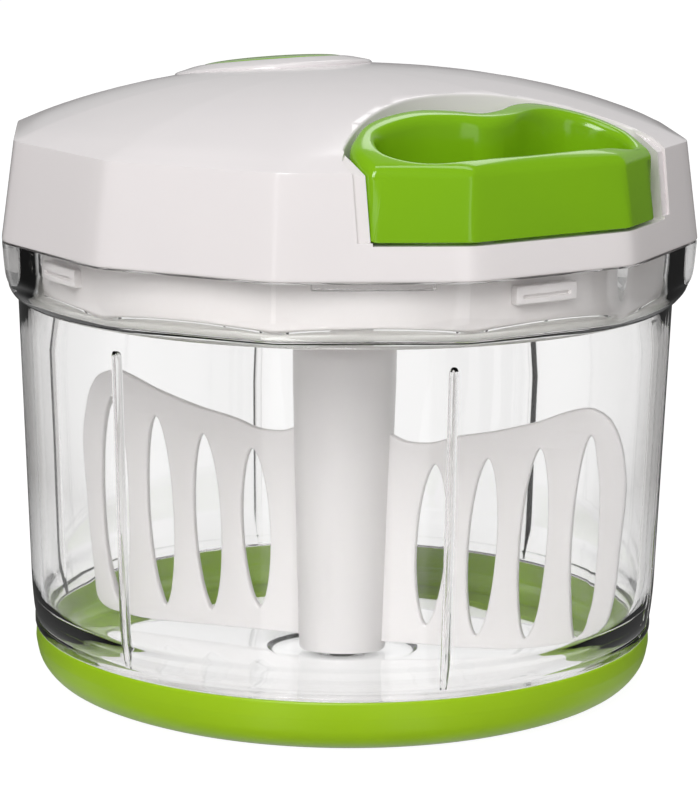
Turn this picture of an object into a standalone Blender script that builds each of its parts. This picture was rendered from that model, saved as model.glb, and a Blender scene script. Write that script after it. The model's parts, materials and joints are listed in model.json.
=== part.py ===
# Manual pull cord food chopper.
# Lengths are in metres and +Z is up. The origin is on the axis, on the table.
# The handle pulls out along -Y.
# Azimuths run from the pull direction towards +X, so azimuth 0 is the front middle of the lid.

import math

import bmesh
import bpy
import numpy as np
from mathutils import Matrix, Vector

# Clearances that the pieces share
CLEARANCE = 0.0003
RUNNING_GAP = 0.0004
OVERRUN = 0.002
EMBED = 0.0006
MERGE_DISTANCE = 0.000001

# Twelve-sided outline of the lid and the collar
FACETS = 12
SEGMENTS = 60
ROUND_SEGMENTS = 48
MEDIUM_SEGMENTS = 32
SMALL_SEGMENTS = 16
TINY_SEGMENTS = 10
ARC_STEPS = 4
ROUND_ANGLES = [math.radians(angle) for angle in (0, 30, 60, 90)]

# Bowl
FLOOR_UNDERSIDE = 0.0019
FLOOR_THICKNESS = 0.0023
FOOT_REACH = 0.0062
FOOT_INSET = 0.0004
FOOT_RISE = 0.0061
NECK_RADIUS = 0.0726
NECK_LOW = 0.0125
NECK_BAND = 0.0020
NECK_BLEND = 0.0080
BAND_STEP = 0.0014
WALL_STEP = 0.0021
WALL_RISE = 0.0695
WALL_FLARE = 0.0025
BOWL_WALL = 0.0022
COLLAR_REACH = 0.0059
COLLAR_BORE_STEP = 0.0006
COLLAR_DEPTH = 0.0127
SHELF_RISE = 0.0020
FLOOR_DISC_RADIUS = 0.0173
FLOOR_DISC_DEPTH = 0.0008
PIN_BOSS_RADIUS = 0.0060
PIN_BOSS_HEIGHT = 0.0066
PIN_SEAT_DEPTH = 0.0068
# Rise above the wall, growth of the corner radius and flatness of the sides, each from 0 to 1
COLLAR_SHARES = [
    (0.068, 0.254, 0.10), (0.190, 0.525, 0.35), (0.327, 0.695, 0.65),
    (0.435, 0.830, 0.85), (0.612, 0.915, 0.95), (1.000, 1.000, 1.00),
]

# Ribs inside the bowl wall
RIB_COUNT = 6
RIB_FIRST_AZIMUTH = math.radians(-16.2)
RIB_RADIUS = 0.00125
RIB_TOP_DROP = 0.0045
RIB_END_REACH = 0.0030
RIB_END_RISE = 0.0001
# Each ring of the rounded top end: how far below the top and how thick, in rib radii
RIB_TIP_SHARES = [(1.30, 1.00), (0.60, 0.85), (0.15, 0.50)]

# Foot ring under the bowl
RING_REACH = 0.0010
RING_BULGE = 0.0002
RING_FOOT_INSET = 0.0073
RING_FOOT_WIDTH = 0.0076
# Height and radius between the foot's edge and the belly, each from 0 to 1
RING_SIDE_SHARES = [(0.72, 1.00), (0.40, 0.87), (0.144, 0.52)]

# Pin that the paddle turns on
PIN_RADIUS = 0.0030
PIN_HEIGHT = 0.0268
PIN_TIP = 0.0008

# Bayonet between lid and bowl
LUG_COUNT = 4
LID_TURN = math.radians(30)
LUG_WIDTH = 0.0160
LUG_REACH = 0.0032
LUG_RISE = 0.0045
LUG_HEIGHT = 0.0042
CATCH_REACH = 0.0028
CATCH_DROP = 0.0002
CATCH_WIDTH = 0.0260

# Lid shell
LID_OVERHANG = 0.00015
LID_EDGE_ROUND = 0.0006
LID_WALL = 0.0022
LID_SIDE_HEIGHT = 0.0230
SHOULDER_INSET = 0.00315
SHOULDER_ROUND = 0.0016
DOME_RISE = 0.0146
DOME_POWER_SHARE = 2.41
DOME_FLAT_SHARE = 0.33
DOME_FADE_SHARE = 0.90
DOME_RING_SHARES = [0.96, 0.91, 0.84, 0.73, 0.58, 0.40, 0.20]
DOME_PASSES = 6

# Recess for the handle
RECESS_RISE = 0.0076
RECESS_HALF_WIDTH = 0.0400
RECESS_CORNER_DEPTH = 0.0186
RECESS_BACK_POINTS = 16
FRAME_BAND = 0.0028
FRAME_STEP = 0.0007

# Handle
HANDLE_LIFT = 0.0007
HANDLE_MIDDLE_X = -0.0026
HANDLE_INSET = 0.00405
HANDLE_DEPTH = 0.0306
HANDLE_BACK_GAP = 0.0101
HANDLE_CENTRE_SHARE = 0.50
HANDLE_RIM = 0.0020
HANDLE_RIM_DROP = 0.0026
HANDLE_CROWN = 0.0010
HANDLE_STEPS = 66
HANDLE_BACK_STEPS = 5
HANDLE_HOLE_STEPS = 4
# Across from the middle and back from the front, in half widths and depths
HANDLE_BACK_SHARES = [
    (1.000, 0.300), (0.973, 0.562), (0.879, 0.768), (0.690, 0.928), (0.534, 0.984), (0.369, 0.954),
    (0.208, 0.869), (0.016, 0.840), (-0.167, 0.925), (-0.380, 1.000), (-0.598, 0.987), (-0.763, 0.925),
    (-0.892, 0.807), (-0.973, 0.706), (-1.000, 0.560), (-1.000, 0.450),
]
HANDLE_HOLE_SHARES = [
    (0.865, 0.370), (0.820, 0.270), (0.690, 0.215), (0.540, 0.195), (0.280, 0.190), (0.016, 0.190),
    (-0.250, 0.185), (-0.415, 0.183), (-0.580, 0.235), (-0.715, 0.333), (-0.805, 0.457), (-0.830, 0.562),
    (-0.785, 0.709), (-0.700, 0.790), (-0.525, 0.836), (-0.360, 0.833), (-0.170, 0.765), (0.016, 0.680),
    (0.205, 0.706), (0.365, 0.784), (0.530, 0.820), (0.665, 0.778), (0.785, 0.667), (0.860, 0.513),
]

# Inner lid
SKIRT_GAP = 0.0044
SKIRT_WALL = 0.0022
SKIRT_CHAMFER = 0.0009
PLATE_THICKNESS = 0.0022
LIP_THICKNESS = 0.0016
GASKET_HEIGHT = 0.0014
GASKET_WIDTH = 0.0051

# Shaft and bearings, from the plate up
SHAFT_RADIUS = 0.0068
BUSH_WALL = 0.0019
SLEEVE_WALL = 0.0020
SLEEVE_HEIGHT = 0.0050
SEAL_HEIGHT = 0.0020
BUSH_FLANGE_RADIUS = 0.0110
BUSH_FLANGE_HEIGHT = 0.0010
SPRING_HEIGHT = 0.0090
SPRING_STRIP = 0.0006
SPRING_TURNS = 5
SPRING_POINTS_PER_TURN = 16
DIVIDER_THICKNESS = 0.0012
HOUSING_GAP = 0.0047
HOUSING_WALL = 0.0016
HOUSING_FLOOR = 0.0015
HOUSING_LEDGE = 0.0008
SPOOL_GAP = 0.0020
SPOOL_CORE_SHARE = 0.4074
SPOOL_FLANGE = 0.0012
SPOOL_HEIGHT = 0.0126
WINDING_DEPTH = 0.0024
DRIVE_SIDES = 6
DRIVE_HEX_STEP = 0.0004
WASHER_RADIUS = 0.0052
WASHER_THICKNESS = 0.0010
COVER_THICKNESS = 0.0014
COVER_HOLE = 0.0062

# Screws
SCREW_RADIUS = 0.0014
SCREW_HEAD_RADIUS = 0.0030
SCREW_HEAD_HEIGHT = 0.0018
SCREW_HOLE_GAP = 0.0003
BOSS_RADIUS = 0.0040
EAR_REACH = 0.0030
EAR_AZIMUTH = math.radians(45)
EAR_COUNT = 4
LID_SCREW_INSET = 0.0134
LID_SCREW_AZIMUTH = math.radians(60)
LID_SCREW_BOSS_HEIGHT = 0.0033
LID_SCREW_LENGTH = 0.0180
HOUSING_BOSS_HEIGHT = 0.0060
SPOOL_SCREW_LENGTH = 0.0120

# Cord
CORD_RADIUS = 0.0010
CORD_STEP_SHARES = [0.0, 0.5, 1.0]
EYELET_BORE = 0.0014
EYELET_BARREL = 0.0028
EYELET_FLANGE = 0.0040
EYELET_FLANGE_THICKNESS = 0.0012
KNOT_RADIUS = 0.0026
KNOT_SEAT = 0.0022
WINDOW_HALF_WIDTH = 0.0085

# Paddle
PADDLE_AZIMUTH = math.radians(35.5)
PADDLE_FOOT_GAP = 0.0004
COLUMN_FOOT_WALL = 0.0020
COLUMN_TOP_WALL = 0.0066
COLUMN_TOP_DROP = 0.0182
COLUMN_ROUND = 0.0022
FOOT_CAVITY_RADIUS = 0.0084
FOOT_CAVITY_STEP = 0.0020
FOOT_BUSH_HEIGHT = 0.0140
SOCKET_DEPTH = 0.0138
SOCKET_FLOOR = 0.0070
SOCKET_HEX_STEP = 0.0008
WING_THICKNESS = 0.0022
WING_GAP = 0.0012
WING_DROP = 0.0095
WING_ROOT = 0.0095
# Distance from the axis and height, in wing reaches and heights
WING_SHARES = [
    (0.173, 0.855), (0.231, 0.833), (0.318, 0.835), (0.405, 0.864), (0.549, 0.896), (0.694, 0.940),
    (0.780, 0.977), (0.853, 1.000), (0.903, 0.996), (0.947, 0.963), (0.983, 0.878), (1.000, 0.761),
    (0.997, 0.659), (0.986, 0.542), (0.973, 0.395), (0.951, 0.234), (0.932, 0.156), (0.892, 0.122),
    (0.824, 0.107), (0.723, 0.099), (0.578, 0.101), (0.361, 0.106),
]
# Each slot's top, bottom and middle: distance and height, then half its width
SLOT_SHARES = [
    ((0.337, 0.761), (0.308, 0.189), 0.053), ((0.525, 0.798), (0.490, 0.165), 0.051),
    ((0.708, 0.849), (0.668, 0.164), 0.048), ((0.882, 0.908), (0.853, 0.154), 0.048),
]
WING_STEPS = 2
SLOT_POINTS = 8
SLOT_ROUND_SHARE = 0.6

# Filler opening and its cap
FILLER_TILT = math.radians(8)
PLINTH_RIM = 0.0070
PLINTH_RISE = 0.0008
PLINTH_SLOPE = 0.0062
PLINTH_DROP = 0.0016
PLINTH_DEPTH = 0.0044
CUP_WALL = 0.0018
CUP_DEPTH = 0.0103
FILLER_HOLE = 0.0142
CAP_LEDGE = 0.0028
CAP_SEAT_DEPTH = 0.0033
CAP_THICKNESS = 0.0020
CAP_CROWN = 0.0013
CAP_ROUND = 0.0006
CAP_PLUG_WALL = 0.0016
CAP_PLUG_DEPTH = 0.0050
FILLER_SEAL_HEIGHT = 0.0010
CHUTE_HALF_WIDTH = 0.0075
CHUTE_GAP = 0.0034
CHUTE_DEPTH = 0.0085
CHUTE_OFFSET = 0.0030
CHUTE_WALL = 0.0015
CHUTE_POINTS = 20
CHUTE_ROUND_SHARE = 0.6

# Heights and radii that follow from the sizes above
FLAT_RATIO_SHARE = math.cos(math.pi / FACETS)
NECK_HIGH = NECK_LOW + NECK_BAND
WALL_LOW = NECK_HIGH + NECK_BLEND
WALL_HIGH = WALL_LOW + WALL_RISE
SHELF_HEIGHT = WALL_HIGH + SHELF_RISE
COLLAR_TOP = SHELF_HEIGHT + COLLAR_DEPTH
FOOT_RADIUS = NECK_RADIUS - FOOT_INSET
FLOOR_FLAT_RADIUS = FOOT_RADIUS - FOOT_REACH
BAND_RADIUS = NECK_RADIUS + BAND_STEP
WALL_LOW_RADIUS = NECK_RADIUS + WALL_STEP
WALL_HIGH_RADIUS = WALL_LOW_RADIUS + WALL_FLARE
COLLAR_RADIUS = WALL_HIGH_RADIUS + COLLAR_REACH
COLLAR_BORE = WALL_HIGH_RADIUS + COLLAR_BORE_STEP
FLOOR_TOP = FLOOR_UNDERSIDE + FLOOR_THICKNESS
RIB_TOP = WALL_HIGH - RIB_TOP_DROP
RIB_END_RADIUS = FLOOR_FLAT_RADIUS + RIB_END_REACH
RIB_END_HEIGHT = FLOOR_TOP + RIB_END_RISE
RING_TOP_RADIUS = NECK_RADIUS + RING_REACH
RING_BELLY_RADIUS = RING_TOP_RADIUS + RING_BULGE
RING_FOOT_RADIUS = RING_BELLY_RADIUS - RING_FOOT_INSET
RING_INNER_RADIUS = RING_FOOT_RADIUS - RING_FOOT_WIDTH
SKIRT_BOTTOM = SHELF_HEIGHT + CLEARANCE + GASKET_HEIGHT + CLEARANCE
SKIRT_RADIUS = COLLAR_BORE - SKIRT_GAP
GASKET_INNER = COLLAR_BORE - CLEARANCE - GASKET_WIDTH
LUG_LOW = SKIRT_BOTTOM + LUG_RISE
LUG_HIGH = LUG_LOW + LUG_HEIGHT
LID_EDGE = COLLAR_TOP + CLEARANCE
LID_EDGE_RADIUS = COLLAR_RADIUS + LID_OVERHANG
SHOULDER_HEIGHT = LID_EDGE + LID_SIDE_HEIGHT
SHOULDER_RADIUS = LID_EDGE_RADIUS - SHOULDER_INSET
HANDLE_FRONT = LID_EDGE_RADIUS - HANDLE_INSET
RECESS_FLOOR = LID_EDGE + RECESS_RISE
RECESS_BACK = HANDLE_FRONT - HANDLE_DEPTH - HANDLE_BACK_GAP
HANDLE_BOTTOM = RECESS_FLOOR + HANDLE_LIFT
HANDLE_HALF_WIDTH = RECESS_HALF_WIDTH + HANDLE_MIDDLE_X - CLEARANCE
DISC_TOP = FLOOR_TOP - FLOOR_DISC_DEPTH
PIN_BOSS_TOP = DISC_TOP + PIN_BOSS_HEIGHT
PIN_BORE = PIN_RADIUS + CLEARANCE
PIN_SEAT = PIN_BOSS_TOP - PIN_SEAT_DEPTH
PLATE_TOP = SKIRT_BOTTOM + PLATE_THICKNESS
SHAFT_BORE = SHAFT_RADIUS + CLEARANCE
BUSH_RADIUS = SHAFT_BORE + BUSH_WALL
SLEEVE_BORE = BUSH_RADIUS + CLEARANCE
SLEEVE_RADIUS = SLEEVE_BORE + SLEEVE_WALL
SLEEVE_TOP = SKIRT_BOTTOM + SLEEVE_HEIGHT
SEAL_LOW = SKIRT_BOTTOM + CLEARANCE
BUSH_FLANGE_LOW = SLEEVE_TOP + CLEARANCE
BUSH_TOP = BUSH_FLANGE_LOW + BUSH_FLANGE_HEIGHT
SPRING_LOW = BUSH_TOP + CLEARANCE
SPRING_HIGH = SPRING_LOW + SPRING_HEIGHT
DIVIDER_LOW = SPRING_HIGH + CLEARANCE
DIVIDER_HIGH = DIVIDER_LOW + DIVIDER_THICKNESS
SPOOL_LOW = DIVIDER_HIGH + CLEARANCE
SPOOL_HIGH = SPOOL_LOW + SPOOL_HEIGHT
CORD_HEIGHT = SPOOL_LOW + SPOOL_HEIGHT / 2
WASHER_LOW = SPOOL_HIGH + CLEARANCE
WASHER_HIGH = WASHER_LOW + WASHER_THICKNESS
HOUSING_LOW = PLATE_TOP + CLEARANCE
HOUSING_TOP = WASHER_HIGH + SCREW_HEAD_HEIGHT
HOUSING_RADIUS = RECESS_BACK - LID_WALL - HOUSING_GAP
HOUSING_INNER = HOUSING_RADIUS - HOUSING_WALL
COVER_LOW = HOUSING_TOP + CLEARANCE
COVER_HIGH = COVER_LOW + COVER_THICKNESS
SCREW_HOLE = SCREW_RADIUS + SCREW_HOLE_GAP
EAR_DISTANCE = HOUSING_RADIUS + EAR_REACH
SPOOL_RADIUS = HOUSING_INNER - SPOOL_GAP
DRIVE_HEX_RADIUS = SHAFT_RADIUS - DRIVE_HEX_STEP
SPOOL_CORE = DRIVE_HEX_RADIUS + (SPOOL_RADIUS - DRIVE_HEX_RADIUS) * SPOOL_CORE_SHARE
LID_SCREW_DISTANCE = SKIRT_RADIUS - LID_SCREW_INSET
WINDING_INNER = SPOOL_CORE + CLEARANCE
WINDING_OUTER = WINDING_INNER + WINDING_DEPTH
HANDLE_CENTRE = (HANDLE_MIDDLE_X, HANDLE_DEPTH * HANDLE_CENTRE_SHARE - HANDLE_FRONT)
CAVITY_FOOT = PIN_BOSS_TOP + CLEARANCE
FOOT_BUSH_TOP = CAVITY_FOOT + FOOT_BUSH_HEIGHT
COLUMN_TOP = SKIRT_BOTTOM - COLUMN_TOP_DROP
SOCKET_GAP = COLUMN_TOP + CLEARANCE
SOCKET_BOTTOM = COLUMN_TOP - SOCKET_DEPTH
CAVITY_TOP = SOCKET_BOTTOM - SOCKET_FLOOR
SOCKET_HEX_RADIUS = SHAFT_RADIUS - SOCKET_HEX_STEP
COLUMN_FOOT_RADIUS = FOOT_CAVITY_RADIUS + COLUMN_FOOT_WALL
COLUMN_TOP_RADIUS = SOCKET_HEX_RADIUS + COLUMN_TOP_WALL
WING_REACH = NECK_RADIUS - BOWL_WALL - WING_GAP
WING_HEIGHT = COLUMN_TOP - WING_DROP
CHUTE_FRONT = HOUSING_RADIUS + CHUTE_GAP
CHUTE_BACK = CHUTE_FRONT + CHUTE_DEPTH
FILLER_DISTANCE = CHUTE_FRONT - CHUTE_OFFSET
CUP_RADIUS = FILLER_HOLE + CUP_WALL
CAP_RADIUS = FILLER_HOLE + CAP_LEDGE
PLINTH_RADIUS = CAP_RADIUS + PLINTH_RIM

OBJECT_NAME = "pull_cord_food_chopper"


def linear(channel):
    return channel / 12.92 if channel <= 0.04045 else ((channel + 0.055) / 1.055) ** 2.4


def finish(name, colour, roughness, metallic=0.0, alpha=1.0):
    # One Principled material from a sRGB colour written as red, green and blue in 0 to 255.
    material = bpy.data.materials.new(name)
    material.use_nodes = True
    shader = material.node_tree.nodes["Principled BSDF"]
    shader.inputs["Base Color"].default_value = [linear(part / 255) for part in colour] + [1.0]
    shader.inputs["Roughness"].default_value = roughness
    shader.inputs["Metallic"].default_value = metallic
    shader.inputs["Alpha"].default_value = alpha
    return material


def spot(radius, azimuth, height):
    return Vector((radius * math.sin(azimuth), -radius * math.cos(azimuth), height))


def flat_sided(azimuth, corner_radius, flat_share):
    # Distance from the axis to a twelve-sided outline whose flats fade to a circle as the share falls to 0.
    step = 2 * math.pi / FACETS
    from_middle = (azimuth + step / 2) % step - step / 2
    flat = corner_radius * math.cos(step / 2) / math.cos(from_middle)
    return corner_radius + flat_share * (flat - corner_radius)


def dome_height(corner_radius):
    return SHOULDER_HEIGHT + DOME_RISE * (1 - (corner_radius / SHOULDER_RADIUS) ** DOME_POWER_SHARE)


def dome_flatness(corner_radius):
    near_edge = (corner_radius / SHOULDER_RADIUS - DOME_FADE_SHARE) / (1 - DOME_FADE_SHARE)
    return DOME_FLAT_SHARE + (1 - DOME_FLAT_SHARE) * min(max(near_edge, 0), 1)


def dome_height_at(x, y):
    # Height of the dome over a place in plan.
    azimuth = math.atan2(x, -y)
    distance = math.hypot(x, y)
    corner_radius = distance
    for _ in range(DOME_PASSES):
        flatness = dome_flatness(min(corner_radius, SHOULDER_RADIUS))
        corner_radius = distance / flat_sided(azimuth, 1, flatness)
    return dome_height(min(corner_radius, SHOULDER_RADIUS))


def side_radius(height):
    # Corner radius of the lid's side at a height.
    down = (SHOULDER_HEIGHT - height) / (SHOULDER_HEIGHT - LID_EDGE)
    return SHOULDER_RADIUS + (LID_EDGE_RADIUS - SHOULDER_RADIUS) * down


def add_object(name, mesh, collection, material=None):
    thing = bpy.data.objects.new(name, mesh)
    collection.objects.link(thing)
    if material:
        mesh.materials.append(material)
    mesh.shade_smooth()
    mesh.set_sharp_from_angle(angle=math.radians(35))
    return thing


def mesh_from(bm, name):
    mesh = bpy.data.meshes.new(name)
    bm.to_mesh(mesh)
    bm.free()
    return mesh


def as_cutter(thing):
    thing.hide_render = True
    thing.display_type = "WIRE"
    return thing


def combine(target, tool, operation):
    change = target.modifiers.new(f"{operation.lower()} {tool.name}", "BOOLEAN")
    change.operation = operation
    change.solver = "EXACT"
    change.object = tool


def loft(name, rings, collection, material=None):
    # A closed body through rings of (corner radius, height, flat share), each end on the axis.
    bm = bmesh.new()
    azimuths = [2 * math.pi * (step + 0.5) / SEGMENTS for step in range(SEGMENTS)]
    rows = []
    for radius, height, share in rings:
        if radius == 0:
            rows.append([bm.verts.new((0, 0, height))])
        else:
            rows.append([bm.verts.new(spot(flat_sided(a, radius, share), a, height)) for a in azimuths])
    for lower, upper in zip(rows, rows[1:]):
        for step in range(SEGMENTS):
            after = (step + 1) % SEGMENTS
            corners = [lower[step % len(lower)], lower[after % len(lower)],
                       upper[after % len(upper)], upper[step % len(upper)]]
            bm.faces.new(list(dict.fromkeys(corners)))
    bmesh.ops.recalc_face_normals(bm, faces=bm.faces)
    return add_object(name, mesh_from(bm, name), collection, material)


def turned(name, profile, collection, material=None, steps=SMALL_SEGMENTS, closed=True):
    # A turned body from (radius, height) points that run down its outer side.
    mesh = bpy.data.meshes.new(name)
    edges = [(i, i + 1) for i in range(len(profile) - 1)]
    if closed:
        edges.append((len(profile) - 1, 0))
    mesh.from_pydata([(radius, 0, height) for radius, height in profile], edges, [])
    thing = add_object(name, mesh, collection, material)
    screw = thing.modifiers.new("turn", "SCREW")
    screw.steps = steps
    screw.render_steps = steps
    screw.use_merge_vertices = True
    screw.merge_threshold = MERGE_DISTANCE
    screw.use_smooth_shade = True
    return thing


def rod(name, radius, low, high, sides, collection, place=(0, 0), material=None, turn=0.0):
    # An upright cylinder, or a prism when it has few sides.
    bm = bmesh.new()
    middle = Matrix.Translation((place[0], place[1], (low + high) / 2)) @ Matrix.Rotation(turn, 4, "Z")
    bmesh.ops.create_cone(bm, cap_ends=True, segments=sides, radius1=radius, radius2=radius,
                          depth=high - low, matrix=middle)
    return add_object(name, mesh_from(bm, name), collection, material)


def plate(name, outlines, low, high, collection, material=None):
    # A flat outline, and any holes in it, given thickness from low to high.
    curve = bpy.data.curves.new(name, "CURVE")
    curve.dimensions = "2D"
    curve.fill_mode = "BOTH"
    curve.extrude = (high - low) / 2
    for points in outlines:
        spline = curve.splines.new("POLY")
        spline.points.add(len(points) - 1)
        for point, (x, y) in zip(spline.points, points):
            point.co = (x, y, 0, 1)
        spline.use_cyclic_u = True
    shape = bpy.data.objects.new(name, curve)
    shape.location = (0, 0, (low + high) / 2)
    return curve_to_mesh(shape, name, collection, material)


def tube(name, points, radius, collection, material=None, radius_shares=None, resolution=2):
    # A round bar along points, with filled ends.
    curve = bpy.data.curves.new(name, "CURVE")
    curve.dimensions = "3D"
    curve.bevel_depth = radius
    curve.bevel_resolution = resolution
    curve.use_fill_caps = True
    spline = curve.splines.new("POLY")
    spline.points.add(len(points) - 1)
    for index, (point, place) in enumerate(zip(spline.points, points)):
        point.co = (*place, 1)
        point.radius = radius_shares[index] if radius_shares else 1
    return curve_to_mesh(bpy.data.objects.new(name, curve), name, collection, material)


def curve_to_mesh(shape, name, collection, material):
    # The curve's mesh with its caps welded on, in world coordinates.
    collection.objects.link(shape)
    bpy.context.view_layer.update()
    evaluated = shape.evaluated_get(bpy.context.evaluated_depsgraph_get())
    mesh = bpy.data.meshes.new_from_object(evaluated)
    mesh.transform(shape.matrix_world)
    bm = bmesh.new()
    bm.from_mesh(mesh)
    bmesh.ops.remove_doubles(bm, verts=bm.verts, dist=MERGE_DISTANCE)
    bmesh.ops.recalc_face_normals(bm, faces=bm.faces)
    bm.to_mesh(mesh)
    bm.free()
    curve = shape.data
    bpy.data.objects.remove(shape)
    bpy.data.curves.remove(curve)
    mesh.name = name
    return add_object(name, mesh, collection, material)


def join_meshes(name, pieces, collection):
    # Several separate bodies as one cutter, so that one Boolean takes them all.
    bm = bmesh.new()
    for piece in pieces:
        bm.from_mesh(piece.data)
        bpy.data.objects.remove(piece)
    return as_cutter(add_object(name, mesh_from(bm, name), collection))


def hang(piece, parent):
    # The piece's mesh is in the parent's own frame.
    piece.parent = parent


def keep_place(piece, parent):
    # The piece's mesh is in world coordinates, and stays where it is.
    piece.parent = parent
    piece.matrix_parent_inverse = parent.matrix_world.inverted()


def smooth_loop(points, per_span):
    # A closed smooth curve through the points.
    count = len(points)
    loop = []
    for index in range(count):
        before, start, end, after = (np.array(points[(index + k) % count]) for k in (-1, 0, 1, 2))
        for step in range(per_span):
            t = step / per_span
            bend = 2 * start + (end - before) * t
            bend = bend + (2 * before - 5 * start + 4 * end - after) * t ** 2
            bend = bend + (3 * start - before - 3 * end + after) * t ** 3
            loop.append(tuple(bend / 2))
    return loop


def smooth_run(points, per_span):
    # An open smooth curve through the points.
    loop = smooth_loop([points[0]] + list(points) + [points[-1]], per_span)
    return loop[per_span:per_span * len(points)] + [tuple(points[-1])]


def arc_block(name, inner, outer, low, high, azimuth, width, collection):
    # A short bar bent round the axis.
    reach = width / 2 / inner
    steps = [azimuth + reach * k / ARC_STEPS for k in range(-ARC_STEPS, ARC_STEPS + 1)]
    outside = [tuple(spot(outer, a, 0).xy) for a in steps]
    inside = [tuple(spot(inner, a, 0).xy) for a in reversed(steps)]
    return plate(name, [outside + inside], low, high, collection)


def corner_arc(gap, inset):
    # The rounded corner between floor and wall: the outside grown by a gap, or the inside at an inset.
    reach = FOOT_RADIUS - FLOOR_FLAT_RADIUS + gap - inset
    rise = FOOT_RISE + gap - inset
    low = FLOOR_UNDERSIDE - gap + inset
    return [(FLOOR_FLAT_RADIUS + reach * math.sin(a), low + rise * (1 - math.cos(a))) for a in ROUND_ANGLES]


def wall_radius(height):
    rise = (height - WALL_LOW) / (WALL_HIGH - WALL_LOW)
    return WALL_LOW_RADIUS + (WALL_HIGH_RADIUS - WALL_LOW_RADIUS) * rise


def make_bowl(parts, cutters, clear):
    middle_height = (NECK_HIGH + WALL_LOW) / 2
    middle_radius = (NECK_RADIUS + WALL_LOW_RADIUS) / 2
    rings = [(0, FLOOR_UNDERSIDE, 0)]
    rings += [(radius, height, 0) for radius, height in corner_arc(0, 0)]
    rings += [(NECK_RADIUS, NECK_LOW, 0), (BAND_RADIUS, NECK_LOW + CLEARANCE, 0)]
    rings.append((BAND_RADIUS, NECK_HIGH, 0))
    rings.append(((BAND_RADIUS + WALL_LOW_RADIUS) / 2, middle_height, 0))
    rings += [(WALL_LOW_RADIUS, WALL_LOW, 0), (WALL_HIGH_RADIUS, WALL_HIGH, 0)]
    for rise, growth, flat_share in COLLAR_SHARES:
        radius = WALL_HIGH_RADIUS + (COLLAR_RADIUS - WALL_HIGH_RADIUS) * growth
        rings.append((radius, WALL_HIGH + (COLLAR_TOP - WALL_HIGH) * rise, flat_share))
    rings += [(COLLAR_BORE, COLLAR_TOP, 0), (COLLAR_BORE, SHELF_HEIGHT, 0)]
    rings.append((wall_radius(SHELF_HEIGHT) - BOWL_WALL, SHELF_HEIGHT, 0))
    rings.append((WALL_LOW_RADIUS - BOWL_WALL, WALL_LOW, 0))
    rings += [(middle_radius - BOWL_WALL, middle_height, 0), (NECK_RADIUS - BOWL_WALL, NECK_HIGH, 0)]
    rings += [(radius, height, 0) for radius, height in reversed(corner_arc(0, FLOOR_THICKNESS))]
    rings += [(FLOOR_DISC_RADIUS + FLOOR_DISC_DEPTH, FLOOR_TOP, 0), (FLOOR_DISC_RADIUS, DISC_TOP, 0)]
    rings += [(PIN_BOSS_RADIUS, DISC_TOP, 0), (PIN_BOSS_RADIUS, PIN_BOSS_TOP, 0)]
    rings += [(PIN_BORE, PIN_BOSS_TOP, 0), (PIN_BORE, PIN_SEAT, 0), (0, PIN_SEAT, 0)]
    bowl = loft("bowl", rings, parts, clear)

    ribs = []
    for index in range(RIB_COUNT):
        azimuth = RIB_FIRST_AZIMUTH + 2 * math.pi * index / RIB_COUNT
        route = [(RIB_END_RADIUS, RIB_END_HEIGHT), (FOOT_RADIUS - BOWL_WALL, FLOOR_UNDERSIDE + FOOT_RISE)]
        route += [(NECK_RADIUS - BOWL_WALL, NECK_HIGH), (WALL_LOW_RADIUS - BOWL_WALL, WALL_LOW)]
        shares = [1] * len(route)
        for below, thickness in RIB_TIP_SHARES:
            height = RIB_TOP - RIB_RADIUS * below
            route.append((wall_radius(height) - BOWL_WALL, height))
            shares.append(thickness)
        points = [spot(radius, azimuth, height) for radius, height in route]
        ribs.append(tube(f"rib {index}", points, RIB_RADIUS, cutters, radius_shares=shares))
    combine(bowl, join_meshes("ribs", ribs, cutters), "UNION")

    catches = []
    high = COLLAR_TOP - CATCH_DROP
    for index in range(LUG_COUNT):
        azimuth = 2 * math.pi * index / LUG_COUNT - LID_TURN
        catches.append(arc_block(f"catch {index}", COLLAR_BORE - CATCH_REACH, COLLAR_BORE + EMBED,
                                 LUG_HIGH + CLEARANCE, high, azimuth, CATCH_WIDTH, cutters))
    combine(bowl, join_meshes("catches", catches, cutters), "UNION")
    return bowl


def make_base_ring(parts, soft_green):
    gap = CLEARANCE
    profile = [(NECK_RADIUS + gap, NECK_LOW), (RING_TOP_RADIUS, NECK_LOW)]
    for rise, growth in RING_SIDE_SHARES:
        radius = RING_FOOT_RADIUS + (RING_BELLY_RADIUS - RING_FOOT_RADIUS) * growth
        profile.append((radius, NECK_LOW * rise))
    profile += [(RING_FOOT_RADIUS, 0), (RING_INNER_RADIUS, 0), (RING_INNER_RADIUS, FLOOR_UNDERSIDE - gap)]
    profile += corner_arc(gap, 0)
    return turned("base_ring", profile, parts, soft_green, steps=ROUND_SEGMENTS)


def make_pin(parts, steel):
    low = PIN_SEAT + CLEARANCE
    high = low + PIN_HEIGHT
    profile = [(0, high), (PIN_RADIUS - PIN_TIP, high), (PIN_RADIUS, high - PIN_TIP)]
    profile += [(PIN_RADIUS, low), (0, low)]
    return turned("pivot_pin", profile, parts, steel, closed=False)


def make_gasket(parts, silicone):
    low = SHELF_HEIGHT + CLEARANCE
    high = low + GASKET_HEIGHT
    outer = COLLAR_BORE - CLEARANCE
    profile = [(outer, high), (outer, low), (GASKET_INNER, low), (GASKET_INNER, high)]
    return turned("lid_gasket", profile, parts, silicone, steps=ROUND_SEGMENTS)


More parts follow.
